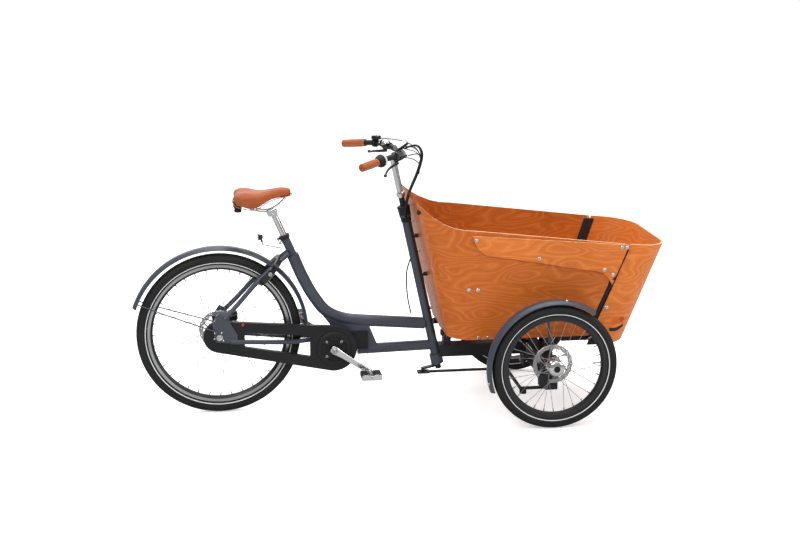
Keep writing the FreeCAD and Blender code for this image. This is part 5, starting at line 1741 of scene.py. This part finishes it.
@dataclass
class Cockpit:
    """Bar, grips, shifter, levers, switches, bell, display and cables."""

    grip_end_x: float = -0.1761
    grip_end_y: float = 0.306
    grip_end_z: float = 1.043
    grip_radius: float = 0.0158
    stitch_pitch: float = 0.0052

    def grip_line(self, side: Side) -> tuple[Vector, Vector]:
        """The outer end of a grip, and the way along the bar from it."""
        end = Vector((self.grip_end_x, side.value * self.grip_end_y, self.grip_end_z))
        return end, Vector((0.089, -side.value * 0.08, 0.014)).normalized()

    def grip(self, side: Side) -> None:
        """One leather-wrapped grip: a soft barrel, spiral wrap edges, stitches and an end plug."""
        end, along = self.grip_line(side)
        length = 0.112 if side is Side.LEFT else 0.09
        base = self.grip_radius
        profile = [(BAR_BORE, 0.0), (0.0146, -0.0036), (base, -0.001)]
        count = 18
        for number in range(count + 1):
            share = number / count
            swell = 0.0009 * math.sin(math.pi * share)
            profile.append((base + swell - 0.0006, 0.004 + (length - 0.01) * share))
        profile += [(base - 0.0005, length - 0.004), (0.0142, length - 0.0025), (BAR_BORE, length - 0.003)]
        build = bmesh.new()
        lathe(build, profile, axis_matrix(end, along), 56, None,
              lambda step, number: -0.0005 if step == 34 else 0.0)
        made = piece(f"grip_{side.word}", build, GRIP_HIDE, "handlebar", angle=60, replaces="grips")
        build = bmesh.new()
        matrix = axis_matrix(end, along)
        stitches = int(length / self.stitch_pitch)
        for number in range(stitches):
            height = 0.004 + number * self.stitch_pitch
            for turn in (-0.1, 0.1):
                angle = math.radians(-160) + turn
                near = polar(base + 0.0007, angle, height)
                far = polar(base + 0.0007, angle + 0.06, height + 0.003)
                strut(build, matrix @ near, matrix @ far, 0.00045, 5)
        piece(f"grip_stitches_{side.word}", build, THREAD, "handlebar")
        build = bmesh.new()
        capped_lathe(build, [(0.0, -0.002), (0.0045, -0.0042), (0.0118, -0.004), (0.0128, -0.0024),
                             (0.012, 0.001), (0.0, 0.001)], matrix, 36)
        piece(f"grip_plug_{side.word}", build, GRIP_HIDE, "handlebar")
        build = bmesh.new()
        capped_lathe(build, [(0.0, -0.0048), (0.003, -0.0048), (0.003, -0.003), (0.0, -0.003)], matrix, 20)
        piece(f"grip_plug_screw_{side.word}", build, MATT_PLASTIC, "handlebar")

    def shifter(self) -> None:
        """The flared twist shifter, and the pale window ring beside it."""
        end, along = self.grip_line(Side.RIGHT)
        build = bmesh.new()
        profile = [(0.0113, 0.0905), (0.0172, 0.0905), (0.0184, 0.092), (0.0205, 0.096), (0.0232, 0.101),
                   (0.0252, 0.107), (0.0254, 0.111), (0.0238, 0.1128), (0.0113, 0.1128), (0.0113, 0.0905)]
        lathe(build, profile, axis_matrix(end, along), 96, None,
              lambda step, number: -0.001 if step % 6 < 2 and 2 <= number <= 5 else 0.0)
        piece("shifter_sleeve", build, MATT_PLASTIC, "twist_shifter", angle=40, replaces="twist_shifter")
        build = bmesh.new()
        ring = [(0.0113, 0.1134), (0.0246, 0.1134), (0.0256, 0.1148), (0.025, 0.1205), (0.0222, 0.124),
                (0.0113, 0.124), (0.0113, 0.1134)]
        lathe(build, ring, axis_matrix(end, along), 56)
        piece("shifter_window", build, STRIPE, "handlebar")

    def lever(self, side: Side) -> None:
        """One brake lever: a curved tapered blade that ends in a ball."""
        out = side.value
        start = pivot(f"brake_lever_{side.word}_pull")
        drop = -0.012 if side is Side.RIGHT else 0.006
        end = Vector((-0.056, out * 0.084, -0.022 + drop))
        blade = [start + Vector(p) for p in ((0.004, -out * 0.002, 0.0), (-0.018, out * 0.02, -0.006),
                                             (-0.038, out * 0.046, -0.011 + drop * 0.3),
                                             (-0.05, out * 0.066, -0.018 + drop * 0.6),
                                             (-0.055, out * 0.079, -0.022 + drop * 0.85))] + [start + end]
        mesh = curve_mesh("blade", blade, 0.0054, 6, (1.25, 1.1, 0.95, 0.8, 0.75, 0.8))
        piece(f"lever_blade_{side.word}", mesh, SHINY_PLASTIC, f"brake_lever_{side.word}",
              replaces=f"brake_lever_{side.word}")
        build = bmesh.new()
        tip = start + end
        arc = [(max(0.0068 * math.cos(math.radians(a)), 0.0002), 0.0068 * math.sin(math.radians(a)))
               for a in range(-90, 91, 15)]
        lathe(build, arc, axis_matrix(tip, Vector((-0.6, out * 0.7, -0.2))), 28)
        knuckle = [(0.0001, -0.0044), (0.006, -0.0044), (0.0066, -0.0034), (0.0066, 0.0034),
                   (0.006, 0.0044), (0.0001, 0.0044)]
        lathe(build, knuckle, axis_matrix(start, UP), 28)
        piece(f"lever_tip_{side.word}", build, SHINY_PLASTIC, f"brake_lever_{side.word}", angle=40)

    def lever_body(self, side: Side) -> None:
        """The lever's clamp, its body along the bar, adjuster and cable exit."""
        out = side.value
        clamp = Vector((-0.0315, out * 0.1615, 1.062))
        along = Vector((0.03, -out * 0.076, -0.008)).normalized()
        build = bmesh.new()
        lathe(build, clamp_band(0.0162, 0.007), axis_matrix(clamp, along), 40)
        post = Vector((-0.025, out * 0.16, 1.04))
        shell = [(0.0001, -0.001), (0.0085, -0.001), (0.0096, 0.0006), (0.0102, 0.008), (0.0096, 0.015),
                 (0.007, 0.0185), (0.0001, 0.0195)]
        lathe(build, shell, axis_matrix(post, UP), 32)
        nose = post + Vector((0.006, -out * 0.006, 0.0105))
        head = [(0.0001, -0.012), (0.008, -0.0115), (0.0108, -0.008), (0.0116, 0.002), (0.0112, 0.016),
                (0.0098, 0.03), (0.0076, 0.043), (0.0058, 0.048), (0.0056, 0.054), (0.0046, 0.0545),
                (0.0044, 0.062), (0.0032, 0.063), (0.0001, 0.063)]
        lathe(build, head, axis_matrix(nose, Vector((0.066, -out * 0.07, 0.006))), 36)
        piece(f"lever_body_{side.word}", build, SHINY_PLASTIC, "handlebar", angle=45,
              replaces="bar_controls")
        build = bmesh.new()
        bolt(build, clamp + Vector((-0.0165, 0, 0.004)), Vector((-1, 0, 0.2)), 0.0036, 0.0026)
        bolt(build, post + Vector((-0.01, 0, 0.008)), Vector((-1, 0, 0)), 0.003, 0.0022)
        piece(f"lever_screws_{side.word}", build, POLISHED, "handlebar")

    def switch(self) -> None:
        """The left thumb switch with its keys, and the bell beside it."""
        middle = Vector((-0.0571, 0.19, 1.086))
        build = bmesh.new()
        along = Vector((0.046, -0.0534, 0.0028)).normalized()
        seat = Vector((-0.06, 0.1965, 1.0598))
        lathe(build, clamp_band(0.0168, 0.0085), axis_matrix(seat, along), 40)
        matrix = Matrix.Translation(middle + Vector((0, 0, -0.003)))
        matrix @= along.to_track_quat("X", "Z").to_matrix().to_4x4()
        prism(build, soft_box(0.019, 0.015, 0.6, 28), 0.015, matrix)
        piece("thumb_switch", build, MATT_PLASTIC, "handlebar", bevel=0.0016)
        build = bmesh.new()
        for x, y in ((-0.009, 0.005), (0.002, 0.005), (-0.0035, -0.006), (0.011, -0.002)):
            spot = matrix @ Vector((x, y, 0.007))
            capped_lathe(build, [(0.0, 0.0), (0.0042, 0.0), (0.0042, 0.0016), (0.0034, 0.0026),
                                 (0.0, 0.0028)], axis_matrix(spot, matrix.to_3x3() @ UP), 24)
        piece("thumb_keys", build, BRUSHED, "handlebar")
        build = bmesh.new()
        bell = Vector((-0.0235, 0.124, 1.06))
        dome = [(0.0001, 0.025), (0.006, 0.0243), (0.012, 0.0215), (0.0165, 0.0165), (0.0185, 0.0105),
                (0.0188, 0.007), (0.018, 0.007), (0.0176, 0.0105), (0.0155, 0.0155), (0.0001, 0.02)]
        lathe(build, dome, axis_matrix(bell, Vector((-0.35, 0.1, 1))), 48)
        piece("bell_dome", build, POLISHED, "handlebar", angle=40)
        build = bmesh.new()
        lathe(build, [(BAR_BORE, -0.005), (0.0142, -0.005), (0.0142, 0.005), (BAR_BORE, 0.005),
                      (BAR_BORE, -0.005)],
              axis_matrix(Vector((-0.011, 0.124, 1.0575)), Vector((0.03, -0.076, -0.008))), 36)
        strut(build, bell + Vector((0.004, 0, -0.002)), bell + Vector((-0.004, 0.001, 0.021)), 0.0042, 16)
        piece("bell_clamp", build, MATT_PLASTIC, "handlebar")

    def stem(self) -> None:
        """The polished quill with its wedge collar, clamp and bar bolts."""
        dress("quill_stem", POLISHED, 0.001)
        dress("steerer", BLACK_STEEL)
        dress("handlebar", BLACK_STEEL)
        up = axis("handlebar_steer")
        build = bmesh.new()
        ring = [(0.0133, 0.0), (0.0168, 0.0), (0.0176, 0.003), (0.0176, 0.014), (0.0166, 0.018),
                (0.0133, 0.018), (0.0133, 0.0)]
        lathe(build, ring, axis_matrix(column_spot(0.872), up), 48)
        for y in (-0.0125, 0.0125):
            bolt(build, Vector((0.033, y, 1.048)), Vector((1, 0, 0.2)), 0.004, 0.0034)
        piece("stem_collar", build, POLISHED, "handlebar")

    def display(self) -> None:
        """The tilted display: a rounded case, a dark glass and three keys."""
        matrix = Matrix.Translation(middle("display")) @ Matrix.Rotation(math.radians(-34), 4, "Y")

        def rounded(half_x: float, half_y: float) -> Outline:
            """A rectangle with the display's tight corners."""
            return soft_box(half_x, half_y, 0.32, 40, 0.5)

        build = bmesh.new()
        prism(build, rounded(0.0305, 0.0415), 0.0088, matrix)
        mount = matrix @ Matrix.Translation(Vector((-0.006, 0, -0.0075)))
        prism(build, rounded(0.016, 0.018), 0.008, mount)
        piece("display_case", build, MATT_PLASTIC, "handlebar", bevel=0.0018, replaces="display")
        build = bmesh.new()
        prism(build, rounded(0.021, 0.037), 0.0016,
              matrix @ Matrix.Translation(Vector((0.0065, 0, 0.0046))))
        piece("display_glass_plate", build, GLASS_BLACK, "handlebar", bevel=0.0005, segments=2)
        build = bmesh.new()
        for y in (-0.02, 0.0, 0.02):
            spot = matrix @ Vector((-0.0215, y, 0.0042))
            capped_lathe(build, [(0.0, 0.0), (0.0038, 0.0), (0.0038, 0.0012), (0.003, 0.0019),
                                 (0.0, 0.002)], axis_matrix(spot, matrix.to_3x3() @ UP), 24)
        piece("display_keys", build, SOFT_RUBBER, "handlebar")

    def cable(self, name: str, points: Sequence[Point], radius: float) -> None:
        """One thin cable that leaves a control and goes into the wrapped bundle.

        Args:
            name: The cable's name.
            points: Its control points, from the control to the bundle.
            radius: Its radius.
        """
        made = piece(name, curve_mesh(name, points, radius, 3), SOFT_RUBBER, "handlebar")
        path = centreline(points)

    def cables(self) -> None:
        """Cables from the levers, shifter, switch and display, and the bundle that they join."""
        right = (0.029, -0.116, 1.0545)
        self.cable("cable_right_brake", (right, (0.054, -0.09, 1.057), (0.083, -0.05, 1.05),
                                         (0.0975, -0.014, 1.02), (0.096, -0.002, 0.985)), 0.0022)
        self.cable("cable_shifter", ((-0.008, -0.159, 1.056), (0.036, -0.132, 1.05), (0.076, -0.085, 1.022),
                                     (0.09, -0.03, 0.992), (0.09, -0.006, 0.962)), 0.002)
        self.cable("cable_left_brake", ((0.029, 0.116, 1.0545), (0.054, 0.09, 1.06), (0.085, 0.05, 1.06),
                                        (0.101, 0.014, 1.03), (0.0995, 0.002, 0.99)), 0.0022)
        self.cable("cable_switch", ((-0.041, 0.178, 1.081), (0.005, 0.138, 1.084), (0.06, 0.075, 1.078),
                                    (0.098, 0.022, 1.05), (0.103, 0.004, 1.01)), 0.0018)
        self.cable("cable_display", ((0.023, 0.0, 1.066), (0.048, 0.001, 1.06), (0.076, 0.002, 1.052),
                                     (0.096, 0.001, 1.033), (0.101, 0.0, 1.01)), 0.0017)
        bundle = [(0.0309, 0.0, 1.064), (0.0629, 0.0, 1.079), (0.0909, 0.0, 1.074), (0.105, 0.0, 1.043),
                  (0.0959, 0.0, 1.0), (0.0819, -0.002, 0.96), (0.063, -0.01, 0.922),
                  (0.048, -0.02, 0.89), (0.037, -0.0275, 0.856), (0.0315, -0.0285, 0.822),
                  (0.033, -0.027, 0.79)]
        taper = (0.55, 0.6, 0.7, 0.95, 1.0, 1.0, 1.0, 0.95, 0.9, 0.85, 0.8)
        mesh = curve_mesh("wrapped bundle", bundle, 0.0066, 5, taper)
        made = bpy.data.objects.new("wrapped_cable_bundle", mesh)
        bpy.context.scene.collection.objects.link(made)
        mesh.materials.append(SOFT_RUBBER.build())
        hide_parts("cable_bundle")
        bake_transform(made)
        LOG.info("wrapped_cable_bundle bends between frame and handlebar")

    def ties(self) -> None:
        """Clips that hold the bundle's tail and the link rod down the column."""
        build = bmesh.new()
        for height in (0.765, 0.64, 0.545, 0.4):
            seat = column_spot(height, 0.0195)
            away = Vector((1, 0, 0.2))
            washer(build, seat, away, 0.0035, 0.007, 0.006, 24)
            bolt(build, seat + Vector((0.006, 0, 0.001)), away, 0.0046, 0.0036)
        piece("column_clips", build, POLISHED, "frame")
        tail = [tuple(column_spot(z, 0.0085, -0.0215)) for z in (0.795, 0.7, 0.56, 0.42, 0.3)]
        piece("column_cable", curve_mesh("column cable", tail, 0.0026, 4), SOFT_RUBBER, "frame")

    def build(self) -> None:
        """Builds the whole cockpit, cables first."""
        self.cables()
        self.stem()
        for side in Side:
            self.grip(side)
            self.lever(side)
            self.lever_body(side)
        self.shifter()
        self.switch()
        self.display()
        self.ties()


# Leaning front end


@dataclass
class FrontEnd:
    """Cross arms, uprights, knuckles, calipers, mudguards and the steering rod."""

    guard_radius: float = 0.2712
    upright_y: float = 0.285
    caliper_y: float = 0.3449

    def links(self) -> None:
        """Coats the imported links, and adds the pivot bolts."""
        for node in ("upper_crossarm", "lower_crossarm", "upright_left", "upright_right", "knuckle_left",
                     "knuckle_right", "tie_rod"):
            dress(node, BLACK_STEEL, 0.0014)
        dress("tie_rod_ball", BRUSHED)
        for side in Side:
            dress(f"front_mudguard_{side.word}", PAINT)
            build = bmesh.new()
            for name in ("lean", "lower_arm_lean"):
                height = pivot(name).z
                for out in (-1, 1):
                    seat = Vector((pivot("lean").x + out * 0.0355, side.value * self.upright_y, height))
                    hex_nut(build, seat, Vector((out, 0, 0)), 0.01, 0.0065)
            piece(f"pivot_nuts_{side.word}", build, BRUSHED, f"upright_{side.word}")
        build = bmesh.new()
        for name in ("lean", "lower_arm_lean"):
            for out in (-1, 1):
                seat = pivot(name) + Vector((out * 0.0478, 0, 0))
                hex_nut(build, seat, Vector((out, 0, 0)), 0.011, 0.006)
        piece("centre_pivot_nuts", build, BRUSHED, "frame")

    def caliper(self, side: Side) -> None:
        """The brake caliper over the disc, with its pistons, bolts and cable arm."""
        seat = middle(f"front_caliper_{side.word}")
        seat.y = side.value * self.caliper_y
        build = bmesh.new()
        for part in (-1, 1):
            place = sideways(seat + Vector((0, part * 0.0066, 0)))
            outline = [(-0.021, -0.02), (-0.012, -0.0245), (0.014, -0.0245), (0.021, -0.016),
                       (0.021, 0.012), (0.014, 0.0245), (-0.01, 0.0245), (-0.021, 0.014)]
            prism(build, outline, 0.008, place)
        lathe(build, [(0.0001, 0.0102), (0.009, 0.0102), (0.0105, 0.0085), (0.0105, 0.006)],
              axis_matrix(seat, Vector((0, -side.value, 0))), 28)
        for x, z in ((-0.013, 0.0185), (0.013, -0.0185)):
            strut(build, seat + Vector((x, -0.0095, z)), seat + Vector((x, 0.0095, z)), 0.0034, 12)
        piece(f"front_caliper_body_{side.word}", build, BLACK_STEEL, f"knuckle_{side.word}", bevel=0.001,
              segments=2, replaces=f"front_caliper_{side.word}")

    def guard_screws(self, side: Side) -> None:
        """Screws at the top and at the rear lower end of a mudguard."""
        centre = pivot(f"front_{side.word}_wheel_spin")
        build = bmesh.new()
        for degrees in (82, 192):
            out = outward(degrees)
            seat = centre + out * self.guard_radius + Vector((0, side.value * 0.012, 0))
            bolt(build, seat, (out + Vector((0, side.value * 0.25, 0))).normalized(), 0.0058, 0.0046)
        piece(f"front_guard_screws_{side.word}", build, POLISHED, f"knuckle_{side.word}")

    def build(self) -> None:
        """Builds both sides of the front end."""
        self.links()
        for side in Side:
            self.caliper(side)
            self.guard_screws(side)
            front_wheel(side)


def main() -> None:
    """Builds the studio and then the machine."""
    logging.basicConfig(level=logging.INFO, format="%(name)s: %(message)s")
    random.seed(SEED)
    Studio().build()
    Cockpit().build()
    Frame().build()
    Drive().build()
    Box().build()
    rear_wheel()
    FrontEnd().build()
    Saddle().build()


if __name__ == "__main__":
    main()
